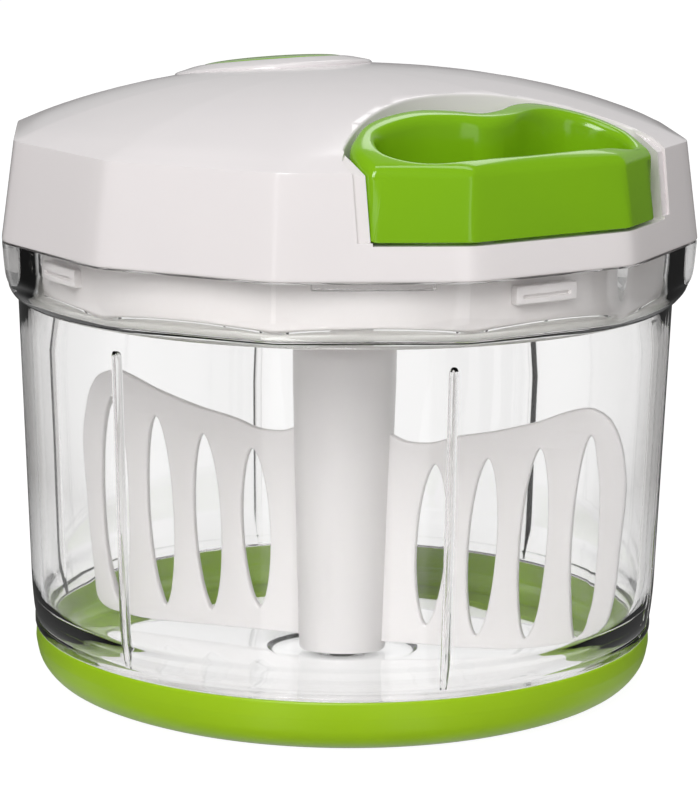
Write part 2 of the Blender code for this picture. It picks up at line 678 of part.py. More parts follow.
def lid_form(name, inset, low, collection, material=None):
    # The lid's outer form, or the same form drawn in by an inset.
    corner_inset = inset / FLAT_RATIO_SHARE
    rings = [(0, low, 1)]
    if inset == 0:
        rings.append((LID_EDGE_RADIUS - LID_EDGE_ROUND, LID_EDGE, 1))
        rings.append((LID_EDGE_RADIUS, LID_EDGE + LID_EDGE_ROUND, 1))
    else:
        rings.append((side_radius(low) - corner_inset, low, 1))
    shoulder = SHOULDER_HEIGHT - SHOULDER_ROUND
    rings.append((side_radius(shoulder) - corner_inset, shoulder - inset, 1))
    for share in [1 - SHOULDER_ROUND / SHOULDER_RADIUS] + DOME_RING_SHARES:
        radius = SHOULDER_RADIUS * share
        rings.append((radius - corner_inset * share, dome_height(radius) - inset, dome_flatness(radius)))
    rings.append((0, dome_height(0) - inset, 0))
    return loft(name, rings, collection, material)


def recess_outline(half_width, back):
    # Plan of the handle's recess: open at the front, with a back that bends forward to the sides.
    front = -LID_EDGE_RADIUS - OVERRUN
    depth = RECESS_CORNER_DEPTH * (half_width / RECESS_HALF_WIDTH) ** 2
    outline = [(-half_width, front), (half_width, front)]
    for index in range(RECESS_BACK_POINTS + 1):
        across = 1 - 2 * index / RECESS_BACK_POINTS
        outline.append((half_width * across, -back - depth * across ** 2))
    return outline


def recess_back(x):
    # Where the recess's back wall stands at a place across the lid.
    return -RECESS_BACK - RECESS_CORNER_DEPTH * (x / RECESS_HALF_WIDTH) ** 2


def screw_places():
    first, second = math.pi - LID_SCREW_AZIMUTH, LID_SCREW_AZIMUTH
    return [tuple(spot(LID_SCREW_DISTANCE, azimuth, 0).xy) for azimuth in (first, second, -first, -second)]


def ear_places():
    azimuths = [EAR_AZIMUTH + 2 * math.pi * k / EAR_COUNT for k in range(EAR_COUNT)]
    return [tuple(spot(EAR_DISTANCE, azimuth, 0).xy) for azimuth in azimuths]


def chute_outline(wall):
    # An oval with square shoulders, so that the opening is as large as the funnel lets it be.
    half_width = CHUTE_HALF_WIDTH + wall
    half_depth = (CHUTE_BACK - CHUTE_FRONT) / 2 + wall
    middle = (CHUTE_FRONT + CHUTE_BACK) / 2
    outline = []
    for index in range(CHUTE_POINTS):
        angle = 2 * math.pi * index / CHUTE_POINTS
        across = math.copysign(abs(math.cos(angle)) ** CHUTE_ROUND_SHARE, math.cos(angle))
        along = math.copysign(abs(math.sin(angle)) ** CHUTE_ROUND_SHARE, math.sin(angle))
        outline.append((half_width * across, middle + half_depth * along))
    return outline


def make_lid_shell(parts, cutters, white, filler_frame):
    shell = lid_form("lid_shell", 0, LID_EDGE, parts, white)
    high = dome_height(0) + OVERRUN

    cavity = as_cutter(lid_form("lid cavity", LID_WALL, LID_EDGE - OVERRUN, cutters))
    pocket = plate("recess walls", [recess_outline(RECESS_HALF_WIDTH + LID_WALL, RECESS_BACK - LID_WALL)],
                   RECESS_FLOOR - LID_WALL, high, cutters)
    combine(cavity, as_cutter(pocket), "DIFFERENCE")
    combine(shell, cavity, "DIFFERENCE")

    low = SKIRT_BOTTOM + PLATE_THICKNESS + LID_SCREW_BOSS_HEIGHT + CLEARANCE
    reach = LID_SCREW_DISTANCE + BOSS_RADIUS
    boss_top = dome_height(reach) - CLEARANCE
    bosses = [rod(f"boss {k}", BOSS_RADIUS, low, boss_top, SMALL_SEGMENTS, cutters, place)
              for k, place in enumerate(screw_places())]
    combine(shell, join_meshes("bosses", bosses, cutters), "UNION")

    plinth_profile = [(0, PLINTH_RISE), (PLINTH_RADIUS - PLINTH_SLOPE, PLINTH_RISE)]
    plinth_profile += [(PLINTH_RADIUS, PLINTH_RISE - PLINTH_DROP), (PLINTH_RADIUS, -PLINTH_DEPTH)]
    plinth_profile += [(CUP_RADIUS, -PLINTH_DEPTH), (CUP_RADIUS, -CUP_DEPTH), (0, -CUP_DEPTH)]
    plinth = as_cutter(turned("plinth", plinth_profile, cutters, closed=False, steps=MEDIUM_SEGMENTS))
    hang(plinth, filler_frame)
    combine(shell, plinth, "UNION")

    recess = plate("recess", [recess_outline(RECESS_HALF_WIDTH, RECESS_BACK)], RECESS_FLOOR, high, cutters)
    combine(shell, as_cutter(recess), "DIFFERENCE")
    band = plate("frame band", [recess_outline(RECESS_HALF_WIDTH + FRAME_BAND, RECESS_BACK)],
                 RECESS_FLOOR + FRAME_STEP, high, cutters)
    combine(band, lid_form_cutter("frame depth", FRAME_STEP, cutters), "DIFFERENCE")
    combine(shell, as_cutter(band), "DIFFERENCE")

    seat_radius = CAP_RADIUS + RUNNING_GAP
    seat = PLINTH_RISE - CAP_SEAT_DEPTH
    top = PLINTH_RISE + OVERRUN
    floor = LID_WALL - CUP_DEPTH
    hole_profile = [(0, top), (seat_radius, top), (seat_radius, seat), (FILLER_HOLE, seat)]
    hole_profile += [(FILLER_HOLE, floor), (0, floor)]
    hole = as_cutter(turned("filler hole", hole_profile, cutters, closed=False, steps=MEDIUM_SEGMENTS))
    hang(hole, filler_frame)
    combine(shell, hole, "DIFFERENCE")

    cup_middle = dome_height(FILLER_DISTANCE) - CUP_DEPTH
    mouth_top = cup_middle + 2 * LID_WALL
    cuts = [plate("chute mouth", [chute_outline(0)], cup_middle - OVERRUN, mouth_top, cutters)]
    for index, place in enumerate(screw_places()):
        cuts.append(rod(f"boss bore {index}", SCREW_HOLE, low - OVERRUN, low + LID_SCREW_LENGTH,
                        TINY_SEGMENTS, cutters, place))
    combine(shell, join_meshes("lid bores", cuts, cutters), "DIFFERENCE")

    eyelet_hole = rod("eyelet hole", EYELET_BARREL + CLEARANCE, -RECESS_BACK - OVERRUN,
                      OVERRUN + LID_WALL - RECESS_BACK, SMALL_SEGMENTS, cutters)
    lay_along_cord(eyelet_hole)
    combine(shell, as_cutter(eyelet_hole), "DIFFERENCE")
    return shell


def lid_form_cutter(name, inset, cutters):
    return as_cutter(lid_form(name, inset, LID_EDGE - OVERRUN, cutters))


def lay_along_cord(thing):
    # Turns a piece made upright so that it lies on the pull line, with its up towards the bowl's axis.
    thing.rotation_euler = (-math.pi / 2, 0, 0)
    thing.location = (HANDLE_MIDDLE_X, 0, CORD_HEIGHT)


def make_lid_base(parts, cutters, white):
    lip_low = LID_EDGE
    lip_high = lip_low + LIP_THICKNESS
    lip_radius = side_radius(lip_high) * FLAT_RATIO_SHARE - LID_WALL - CLEARANCE
    inner = SKIRT_RADIUS - SKIRT_WALL
    profile = [(inner, lip_high), (lip_radius, lip_high), (lip_radius, lip_low), (SKIRT_RADIUS, lip_low)]
    profile += [(SKIRT_RADIUS, SKIRT_BOTTOM + SKIRT_CHAMFER), (SKIRT_RADIUS - SKIRT_CHAMFER, SKIRT_BOTTOM)]
    profile += [(SLEEVE_BORE, SKIRT_BOTTOM), (SLEEVE_BORE, SLEEVE_TOP), (SLEEVE_RADIUS, SLEEVE_TOP)]
    profile += [(SLEEVE_RADIUS, PLATE_TOP), (inner, PLATE_TOP)]
    base = turned("lid_base", profile, parts, white, steps=ROUND_SEGMENTS)

    additions = []
    for index in range(LUG_COUNT):
        azimuth = 2 * math.pi * index / LUG_COUNT
        additions.append(arc_block(f"lug {index}", SKIRT_RADIUS - EMBED, SKIRT_RADIUS + LUG_REACH,
                                   LUG_LOW, LUG_HIGH, azimuth, LUG_WIDTH, cutters))
    chute_top = dome_height(FILLER_DISTANCE) - CUP_DEPTH - math.sin(FILLER_TILT) * CUP_RADIUS - CLEARANCE
    additions.append(plate("chute", [chute_outline(CHUTE_WALL)], PLATE_TOP - EMBED, chute_top, cutters))
    for index, place in enumerate(screw_places()):
        additions.append(rod(f"screw boss {index}", BOSS_RADIUS + EMBED, PLATE_TOP - EMBED,
                             PLATE_TOP + LID_SCREW_BOSS_HEIGHT, SMALL_SEGMENTS, cutters, place))
    for index, place in enumerate(ear_places()):
        additions.append(rod(f"housing boss {index}", BOSS_RADIUS, PLATE_TOP - EMBED,
                             PLATE_TOP + HOUSING_BOSS_HEIGHT, SMALL_SEGMENTS, cutters, place))
    combine(base, join_meshes("lid base additions", additions, cutters), "UNION")

    cuts = [plate("chute bore", [chute_outline(0)], SKIRT_BOTTOM - OVERRUN, chute_top + OVERRUN, cutters)]
    head_top = SKIRT_BOTTOM + SCREW_HEAD_HEIGHT + 2 * CLEARANCE
    for index, place in enumerate(screw_places()):
        cuts.append(turned_pocket(f"screw pocket {index}", head_top, place, cutters))
    for index, place in enumerate(ear_places()):
        cuts.append(rod(f"housing bore {index}", SCREW_HOLE, PLATE_TOP + EMBED,
                        PLATE_TOP + HOUSING_BOSS_HEIGHT + OVERRUN, TINY_SEGMENTS, cutters, place))
    combine(base, join_meshes("lid base cuts", cuts, cutters), "DIFFERENCE")
    return base


def turned_pocket(name, head_top, place, cutters):
    # A screw's through hole with a wider pocket for its head, as one closed cutter.
    bm = bmesh.new()
    sides = TINY_SEGMENTS
    levels = [(0, SKIRT_BOTTOM - OVERRUN), (SCREW_HEAD_RADIUS + CLEARANCE, SKIRT_BOTTOM - OVERRUN),
              (SCREW_HEAD_RADIUS + CLEARANCE, head_top), (SCREW_HOLE, head_top),
              (SCREW_HOLE, PLATE_TOP + LID_SCREW_BOSS_HEIGHT + OVERRUN),
              (0, PLATE_TOP + LID_SCREW_BOSS_HEIGHT + OVERRUN)]
    verts = [bm.verts.new((radius, 0, height)) for radius, height in levels]
    edges = [bm.edges.new(pair) for pair in zip(verts, verts[1:])]
    bmesh.ops.spin(bm, geom=verts + edges, cent=(0, 0, 0), axis=(0, 0, 1), angle=2 * math.pi, steps=sides)
    bmesh.ops.remove_doubles(bm, verts=bm.verts, dist=MERGE_DISTANCE)
    bmesh.ops.recalc_face_normals(bm, faces=bm.faces)
    bmesh.ops.translate(bm, verts=bm.verts, vec=(place[0], place[1], 0))
    return add_object(name, mesh_from(bm, name), cutters)


def screw_body(name, place, head_low, head_up, length, parts, steel):
    # A pan head screw: the head's inner face is at head_low, and the shank runs away from the head.
    direction = -1 if head_up else 1
    head_end = head_low - direction * SCREW_HEAD_HEIGHT
    tip = head_low + direction * length
    profile = [(0, head_end), (SCREW_HEAD_RADIUS, head_end), (SCREW_HEAD_RADIUS, head_low)]
    profile += [(SCREW_RADIUS, head_low), (SCREW_RADIUS, tip - direction * SCREW_RADIUS), (0, tip)]
    if not head_up:
        profile.reverse()
    screw = turned(name, profile, parts, steel, steps=TINY_SEGMENTS, closed=False)
    screw.location = (place[0], place[1], 0)
    return screw


def make_bearings(parts, nylon, rubber):
    seal = [(BUSH_RADIUS, SEAL_LOW + SEAL_HEIGHT), (BUSH_RADIUS, SEAL_LOW)]
    seal += [(SHAFT_BORE, SEAL_LOW), (SHAFT_BORE, SEAL_LOW + SEAL_HEIGHT)]
    bush_low = SEAL_LOW + SEAL_HEIGHT + CLEARANCE
    bush = [(BUSH_FLANGE_RADIUS, BUSH_TOP), (BUSH_FLANGE_RADIUS, BUSH_FLANGE_LOW)]
    bush += [(BUSH_RADIUS, BUSH_FLANGE_LOW), (BUSH_RADIUS, bush_low), (SHAFT_BORE, bush_low)]
    bush.append((SHAFT_BORE, BUSH_TOP))
    return turned("shaft_seal", seal, parts, rubber), turned("hub_bush", bush, parts, nylon)


def make_housing(parts, cutters, white):
    ledge = HOUSING_INNER - HOUSING_LEDGE
    ledge_top = DIVIDER_LOW - CLEARANCE
    inside, floor = SLEEVE_RADIUS + CLEARANCE, HOUSING_LOW + HOUSING_FLOOR
    profile = [(HOUSING_RADIUS, HOUSING_TOP), (HOUSING_RADIUS, HOUSING_LOW), (inside, HOUSING_LOW)]
    profile += [(inside, floor), (ledge, floor)]
    profile += [(ledge, ledge_top), (HOUSING_INNER, ledge_top), (HOUSING_INNER, HOUSING_TOP)]
    housing = turned("spool_housing", profile, parts, white, steps=MEDIUM_SEGMENTS)
    boss_top = PLATE_TOP + HOUSING_BOSS_HEIGHT + CLEARANCE
    room = [rod(f"boss room {k}", BOSS_RADIUS + CLEARANCE, HOUSING_LOW - OVERRUN, boss_top, SMALL_SEGMENTS,
                cutters, place) for k, place in enumerate(ear_places())]
    ears = [ear(f"ear {k}", place, boss_top, HOUSING_TOP, cutters) for k, place in enumerate(ear_places())]
    bores = [rod(f"ear bore {k}", SCREW_HOLE, boss_top - OVERRUN, HOUSING_TOP + OVERRUN, TINY_SEGMENTS,
                 cutters, place) for k, place in enumerate(ear_places())]
    combine(housing, join_meshes("ears", ears, cutters), "UNION")
    combine(housing, join_meshes("ear bores", bores, cutters), "DIFFERENCE")
    combine(housing, join_meshes("boss rooms", room, cutters), "DIFFERENCE")
    exit_x = lead_point(-HOUSING_RADIUS).x
    left, right = exit_x - WINDOW_HALF_WIDTH, exit_x + WINDOW_HALF_WIDTH
    front = -HOUSING_RADIUS - OVERRUN
    window = [(right, front), (right, -SPOOL_CORE), (left, -SPOOL_CORE), (left, front)]
    opening = plate("cord window", [window], SPOOL_LOW + SPOOL_FLANGE, SPOOL_HIGH - SPOOL_FLANGE, cutters)
    combine(housing, as_cutter(opening), "DIFFERENCE")
    return housing


def ear(name, place, low, high, cutters):
    # A round ear that runs back into the housing wall.
    return rod(name, BOSS_RADIUS + EMBED, low, high, SMALL_SEGMENTS, cutters, place)


def make_cover(parts, cutters, white):
    profile = [(HOUSING_RADIUS, COVER_HIGH), (HOUSING_RADIUS, COVER_LOW), (COVER_HOLE, COVER_LOW)]
    profile += [(COVER_HOLE, COVER_HIGH)]
    cover = turned("housing_cover", profile, parts, white, steps=MEDIUM_SEGMENTS)
    ears = [ear(f"cover ear {k}", place, COVER_LOW, COVER_HIGH, cutters)
            for k, place in enumerate(ear_places())]
    bores = [rod(f"cover bore {k}", SCREW_HOLE, COVER_LOW - OVERRUN, COVER_HIGH + OVERRUN, TINY_SEGMENTS,
                 cutters, place) for k, place in enumerate(ear_places())]
    combine(cover, join_meshes("cover ears", ears, cutters), "UNION")
    combine(cover, join_meshes("cover bores", bores, cutters), "DIFFERENCE")
    return cover


def make_divider(parts, white):
    outer = HOUSING_INNER - CLEARANCE
    profile = [(outer, DIVIDER_HIGH), (outer, DIVIDER_LOW)]
    profile += [(SHAFT_BORE, DIVIDER_LOW), (SHAFT_BORE, DIVIDER_HIGH)]
    return turned("spring_cover", profile, parts, white, steps=MEDIUM_SEGMENTS)


def make_spring(parts, steel):
    # A flat strip wound from the shaft out to the housing wall.
    first = SHAFT_BORE + SPRING_STRIP
    last = HOUSING_INNER - HOUSING_LEDGE - CLEARANCE - SPRING_STRIP
    count = SPRING_TURNS * SPRING_POINTS_PER_TURN
    inside, outside = [], []
    for index in range(count + 1):
        share = index / count
        azimuth = 2 * math.pi * SPRING_TURNS * share
        middle = first + (last - first) * share
        outside.append(tuple(spot(middle + SPRING_STRIP / 2, azimuth, 0).xy))
        inside.append(tuple(spot(middle - SPRING_STRIP / 2, azimuth, 0).xy))
    return plate("recoil_spring", [outside + inside[::-1]], SPRING_LOW, SPRING_HIGH, parts, steel)


def make_hub(parts, cutters, white):
    high = SPOOL_LOW - CLEARANCE
    profile = [(0, high), (SHAFT_RADIUS, high), (SHAFT_RADIUS, SOCKET_GAP), (0, SOCKET_GAP)]
    hub = turned("drive_hub", profile, parts, white, closed=False)
    hex_low = SOCKET_BOTTOM + RUNNING_GAP
    hex_radius = SOCKET_HEX_RADIUS - RUNNING_GAP
    upper = DRIVE_HEX_RADIUS
    ends = [rod("hub tip", hex_radius, hex_low, SOCKET_GAP + EMBED, DRIVE_SIDES, cutters),
            rod("hub head", upper, high - EMBED, SPOOL_HIGH - CLEARANCE, DRIVE_SIDES, cutters)]
    combine(hub, join_meshes("hub ends", ends, cutters), "UNION")
    pilot_low = WASHER_HIGH - SPOOL_SCREW_LENGTH - CLEARANCE
    pilot = rod("pilot hole", SCREW_HOLE, pilot_low, SPOOL_HIGH + OVERRUN, TINY_SEGMENTS, cutters)
    combine(hub, as_cutter(pilot), "DIFFERENCE")
    return hub


def make_spool(parts, cutters, white):
    low_flange = SPOOL_LOW + SPOOL_FLANGE
    high_flange = SPOOL_HIGH - SPOOL_FLANGE
    bore = SCREW_HOLE
    profile = [(bore, SPOOL_HIGH), (SPOOL_RADIUS, SPOOL_HIGH), (SPOOL_RADIUS, high_flange)]
    profile += [(SPOOL_CORE, high_flange), (SPOOL_CORE, low_flange), (SPOOL_RADIUS, low_flange)]
    profile += [(SPOOL_RADIUS, SPOOL_LOW), (bore, SPOOL_LOW)]
    spool = turned("spool", profile, parts, white, steps=MEDIUM_SEGMENTS)
    socket = rod("spool socket", DRIVE_HEX_RADIUS + RUNNING_GAP, SPOOL_LOW - OVERRUN,
                 SPOOL_HIGH + OVERRUN, DRIVE_SIDES, cutters)
    combine(spool, as_cutter(socket), "DIFFERENCE")
    return spool


def make_winding(parts, cord):
    low = SPOOL_LOW + SPOOL_FLANGE + CLEARANCE
    high = SPOOL_HIGH - SPOOL_FLANGE - CLEARANCE
    profile = [(WINDING_OUTER, high), (WINDING_OUTER, low), (WINDING_INNER, low), (WINDING_INNER, high)]
    return turned("cord_winding", profile, parts, cord, steps=MEDIUM_SEGMENTS)


def make_washer(parts, steel):
    inner = SCREW_HOLE
    profile = [(WASHER_RADIUS, WASHER_HIGH), (WASHER_RADIUS, WASHER_LOW)]
    profile += [(inner, WASHER_LOW), (inner, WASHER_HIGH)]
    return turned("spool_washer", profile, parts, steel)


def lead_line():
    # The cord leaves the winding along a tangent and goes to the eyelet's inner mouth.
    reach = WINDING_OUTER + CORD_RADIUS + CLEARANCE
    mouth = Vector((HANDLE_MIDDLE_X, LID_WALL + EYELET_FLANGE_THICKNESS + CLEARANCE - RECESS_BACK))
    distance = mouth.length
    towards = math.atan2(mouth.y, mouth.x)
    angle = towards - math.acos(reach / distance)
    start = Vector((reach * math.cos(angle), reach * math.sin(angle)))
    return start, mouth


def lead_point(y):
    start, mouth = lead_line()
    share = (y - start.y) / (mouth.y - start.y)
    return start + (mouth - start) * share


def make_cord_lead(parts, cord):
    start, mouth = lead_line()
    end = mouth - (mouth - start).normalized() * CORD_RADIUS
    points = [(*(start + (end - start) * share), CORD_HEIGHT) for share in CORD_STEP_SHARES]
    return tube("cord_lead", points, CORD_RADIUS, parts, cord)


def make_eyelet(parts, brass):
    # Made upright along the pull line: up is from the recess towards the axis.
    front = recess_back(abs(HANDLE_MIDDLE_X) + EYELET_FLANGE) - CLEARANCE
    back = LID_WALL + EYELET_FLANGE_THICKNESS - RECESS_BACK
    flange_back = front - EYELET_FLANGE_THICKNESS
    profile = [(EYELET_BORE, back), (EYELET_BARREL, back), (EYELET_BARREL, front), (EYELET_FLANGE, front)]
    profile += [(EYELET_FLANGE, flange_back), (EYELET_BORE, flange_back)]
    eyelet = turned("cord_eyelet", profile, parts, brass, steps=SMALL_SEGMENTS)
    lay_along_cord(eyelet)
    return eyelet


def handle_point(shares):
    across, back = shares
    return (HANDLE_MIDDLE_X + HANDLE_HALF_WIDTH * across, HANDLE_DEPTH * back - HANDLE_FRONT)


def lid_front(x, height):
    # The lid's front face at a height: the flat in the middle, or the flat beside it.
    apothem = side_radius(height) * FLAT_RATIO_SHARE
    turn = 2 * math.pi / FACETS
    side = (apothem - abs(x) * math.sin(turn)) / math.cos(turn)
    return -min(apothem, side)


def handle_outline(height):
    # Outer plan of the handle at a height: the lid's own front, then the two lobes of the back.
    left = HANDLE_MIDDLE_X - HANDLE_HALF_WIDTH
    right = HANDLE_MIDDLE_X + HANDLE_HALF_WIDTH
    fold = side_radius(height) * math.sin(math.pi / FACETS)
    front = [(x, lid_front(x, height)) for x in (left, -fold, fold, right)]
    back = smooth_run([handle_point(shares) for shares in HANDLE_BACK_SHARES], HANDLE_BACK_STEPS)
    return front + back


def reach_of(outline, direction):
    # How far an outline is from the handle's centre in a direction.
    centre = Vector(HANDLE_CENTRE)
    best = 0
    for start, end in zip(outline, outline[1:] + outline[:1]):
        first = Vector(start) - centre
        along = Vector(end) - Vector(start)
        cross = direction.x * along.y - direction.y * along.x
        if abs(cross) < 1e-12:
            continue
        distance = (first.x * along.y - first.y * along.x) / cross
        share = (first.x * direction.y - first.y * direction.x) / cross
        if 0 <= share <= 1 and distance > best:
            best = distance
    return best


def make_handle(parts, cutters, green):
    # A loft between the outer outline, whose front is part of the lid's side, and the finger hole.
    middle = (HANDLE_BOTTOM + SHOULDER_HEIGHT) / 2
    angles = [2 * math.pi * k / HANDLE_STEPS for k in range(HANDLE_STEPS)]
    for x, y in handle_outline(middle)[:4]:
        corner = math.atan2(y - HANDLE_CENTRE[1], x - HANDLE_CENTRE[0]) % (2 * math.pi)
        nearest = min(range(len(angles)), key=lambda k: abs(angles[k] - corner))
        angles[nearest] = corner
    hole = smooth_loop([handle_point(shares) for shares in HANDLE_HOLE_SHARES], HANDLE_HOLE_STEPS)
    low_outline = handle_outline(HANDLE_BOTTOM)
    high_outline = handle_outline(SHOULDER_HEIGHT - HANDLE_RIM_DROP)
    bm = bmesh.new()
    rows = []
    centre = Vector(HANDLE_CENTRE)
    for angle in angles:
        direction = Vector((math.cos(angle), math.sin(angle)))
        inner = reach_of(hole, direction)
        low_outer = reach_of(low_outline, direction)
        high_outer = reach_of(high_outline, direction)
        row = [(inner, HANDLE_BOTTOM), (low_outer, HANDLE_BOTTOM)]
        for turn in ROUND_ANGLES:
            distance = high_outer - HANDLE_RIM * (1 - math.cos(turn))
            drop = HANDLE_RIM_DROP * (1 - math.sin(turn))
            row.append((distance, top_height(centre + direction * distance) - drop))
        for turn in reversed(ROUND_ANGLES):
            distance = inner + HANDLE_RIM * (1 - math.cos(turn))
            drop = HANDLE_RIM_DROP * (1 - math.sin(turn))
            row.append((distance, top_height(centre + direction * distance) - drop))
        rows.append([bm.verts.new((*(centre + direction * distance), height)) for distance, height in row])
    for row, after in zip(rows, rows[1:] + rows[:1]):
        for index in range(len(row)):
            following = (index + 1) % len(row)
            bm.faces.new([row[index], after[index], after[following], row[following]])
    bmesh.ops.recalc_face_normals(bm, faces=bm.faces)
    handle = add_object("pull_handle", mesh_from(bm, "pull_handle"), parts, green)

    inner_face = knot_face()
    seat = rod("knot seat", KNOT_RADIUS + RUNNING_GAP, inner_face - KNOT_SEAT * 2, inner_face + KNOT_SEAT,
               SMALL_SEGMENTS, cutters)
    bore = rod("cord bore", EYELET_BORE, inner_face - EYELET_BORE, HANDLE_DEPTH - HANDLE_FRONT,
               TINY_SEGMENTS, cutters)
    for cut in (seat, bore):
        lay_along_cord(cut)
        combine(handle, as_cutter(cut), "DIFFERENCE")
    return handle


def top_height(place):
    # The handle's top follows the dome and stands a little over it.
    return dome_height_at(place.x, place.y) + HANDLE_CROWN


def knot_face():
    # Where the pull line meets the finger hole's back wall.
    hole = smooth_loop([handle_point(shares) for shares in HANDLE_HOLE_SHARES], HANDLE_HOLE_STEPS)
    return HANDLE_CENTRE[1] + reach_of(hole, Vector((0, 1)))


def make_knot(parts, cord):
    bm = bmesh.new()
    bmesh.ops.create_uvsphere(bm, u_segments=TINY_SEGMENTS, v_segments=TINY_SEGMENTS, radius=KNOT_RADIUS)
    knot = add_object("cord_knot", mesh_from(bm, "cord_knot"), parts, cord)
    knot.location = (HANDLE_MIDDLE_X, knot_face() + KNOT_SEAT - CLEARANCE - KNOT_RADIUS, CORD_HEIGHT)
    return knot


def make_cord_run(parts, cord):
    _, mouth = lead_line()
    start = mouth.y - CLEARANCE
    end = knot_face() + KNOT_SEAT
    points = [(HANDLE_MIDDLE_X, start + (end - start) * share, CORD_HEIGHT) for share in CORD_STEP_SHARES]
    return tube("cord_run", points, CORD_RADIUS, parts, cord)


def wing_point(shares):
    return (WING_REACH * shares[0], WING_HEIGHT * shares[1])


def make_wing(name, azimuth, cutters):
    # One slotted wing, made flat and then stood up in its plane.
    root_top = wing_point(WING_SHARES[0])[1]
    root_bottom = wing_point(WING_SHARES[-1])[1]
    outline = smooth_run([wing_point(shares) for shares in WING_SHARES], WING_STEPS)
    outline += [(WING_ROOT, root_bottom), (WING_ROOT, root_top)]
    outlines = [outline]
    for top, bottom, half_width in SLOT_SHARES:
        high, low = Vector(wing_point(top)), Vector(wing_point(bottom))
        slot = []
        for side in (1, -1):
            for index in range(SLOT_POINTS):
                along = side * math.cos(math.pi * index / SLOT_POINTS)
                width = side * WING_REACH * half_width * (1 - along ** 2) ** SLOT_ROUND_SHARE
                middle = (high + low) / 2 + (high - low) / 2 * along
                slot.append((middle.x + width, middle.y))
        outlines.append(slot)
    wing = plate(name, outlines, -WING_THICKNESS / 2, WING_THICKNESS / 2, cutters)
    upright = Matrix.Rotation(math.pi / 2, 4, "X")
    wing.data.transform(Matrix.Rotation(azimuth - math.pi / 2, 4, "Z") @ upright)
    return wing


def make_paddle(parts, cutters, milky):
    foot = FLOOR_TOP + PADDLE_FOOT_GAP
    step = FOOT_BUSH_TOP + CLEARANCE
    profile = [(0, COLUMN_TOP), (COLUMN_TOP_RADIUS - COLUMN_ROUND, COLUMN_TOP)]
    profile += [(COLUMN_TOP_RADIUS, COLUMN_TOP - COLUMN_ROUND), (COLUMN_FOOT_RADIUS, foot)]
    profile.append((FOOT_CAVITY_RADIUS, foot))
    profile += [(FOOT_CAVITY_RADIUS, step), (FOOT_CAVITY_RADIUS - FOOT_CAVITY_STEP, step)]
    profile += [(FOOT_CAVITY_RADIUS - FOOT_CAVITY_STEP, CAVITY_TOP), (0, CAVITY_TOP)]
    paddle = turned("paddle", profile, parts, milky, closed=False, steps=MEDIUM_SEGMENTS)
    wings = [make_wing("wing right", PADDLE_AZIMUTH, cutters),
             make_wing("wing left", PADDLE_AZIMUTH + math.pi, cutters)]
    combine(paddle, join_meshes("wings", wings, cutters), "UNION")
    socket = rod("hub socket", SOCKET_HEX_RADIUS, SOCKET_BOTTOM, COLUMN_TOP + OVERRUN, DRIVE_SIDES, cutters)
    combine(paddle, as_cutter(socket), "DIFFERENCE")
    return paddle


def make_foot_bush(parts, nylon):
    outer = FOOT_CAVITY_RADIUS - CLEARANCE
    inner = PIN_RADIUS + CLEARANCE
    profile = [(outer, FOOT_BUSH_TOP), (outer, CAVITY_FOOT), (inner, CAVITY_FOOT), (inner, FOOT_BUSH_TOP)]
    return turned("foot_bush", profile, parts, nylon)


def make_filler_cap(parts, green, silicone, filler_frame):
    seat = PLINTH_RISE - CAP_SEAT_DEPTH
    seal_low = seat + CLEARANCE
    seal_high = seal_low + FILLER_SEAL_HEIGHT
    low = seal_high + CLEARANCE
    high = low + CAP_THICKNESS
    plug = FILLER_HOLE - RUNNING_GAP
    end = low - CAP_PLUG_DEPTH
    rim = high - CAP_ROUND
    profile = [(CAP_RADIUS * math.sin(turn), rim + CAP_CROWN * math.cos(turn)) for turn in ROUND_ANGLES]
    profile.append((CAP_RADIUS, low))
    inside = plug - CAP_PLUG_WALL
    profile += [(plug, low), (plug, end), (inside, end), (inside, low), (0, low)]
    cap = turned("filler_cap", profile, parts, green, closed=False, steps=MEDIUM_SEGMENTS)
    inner = FILLER_HOLE + RUNNING_GAP
    outer = CAP_RADIUS - RUNNING_GAP
    ring = [(outer, seal_high), (outer, seal_low), (inner, seal_low), (inner, seal_high)]
    seal = turned("filler_seal", ring, parts, silicone, steps=MEDIUM_SEGMENTS)
    for piece in (cap, seal):
        hang(piece, filler_frame)
    return cap, seal


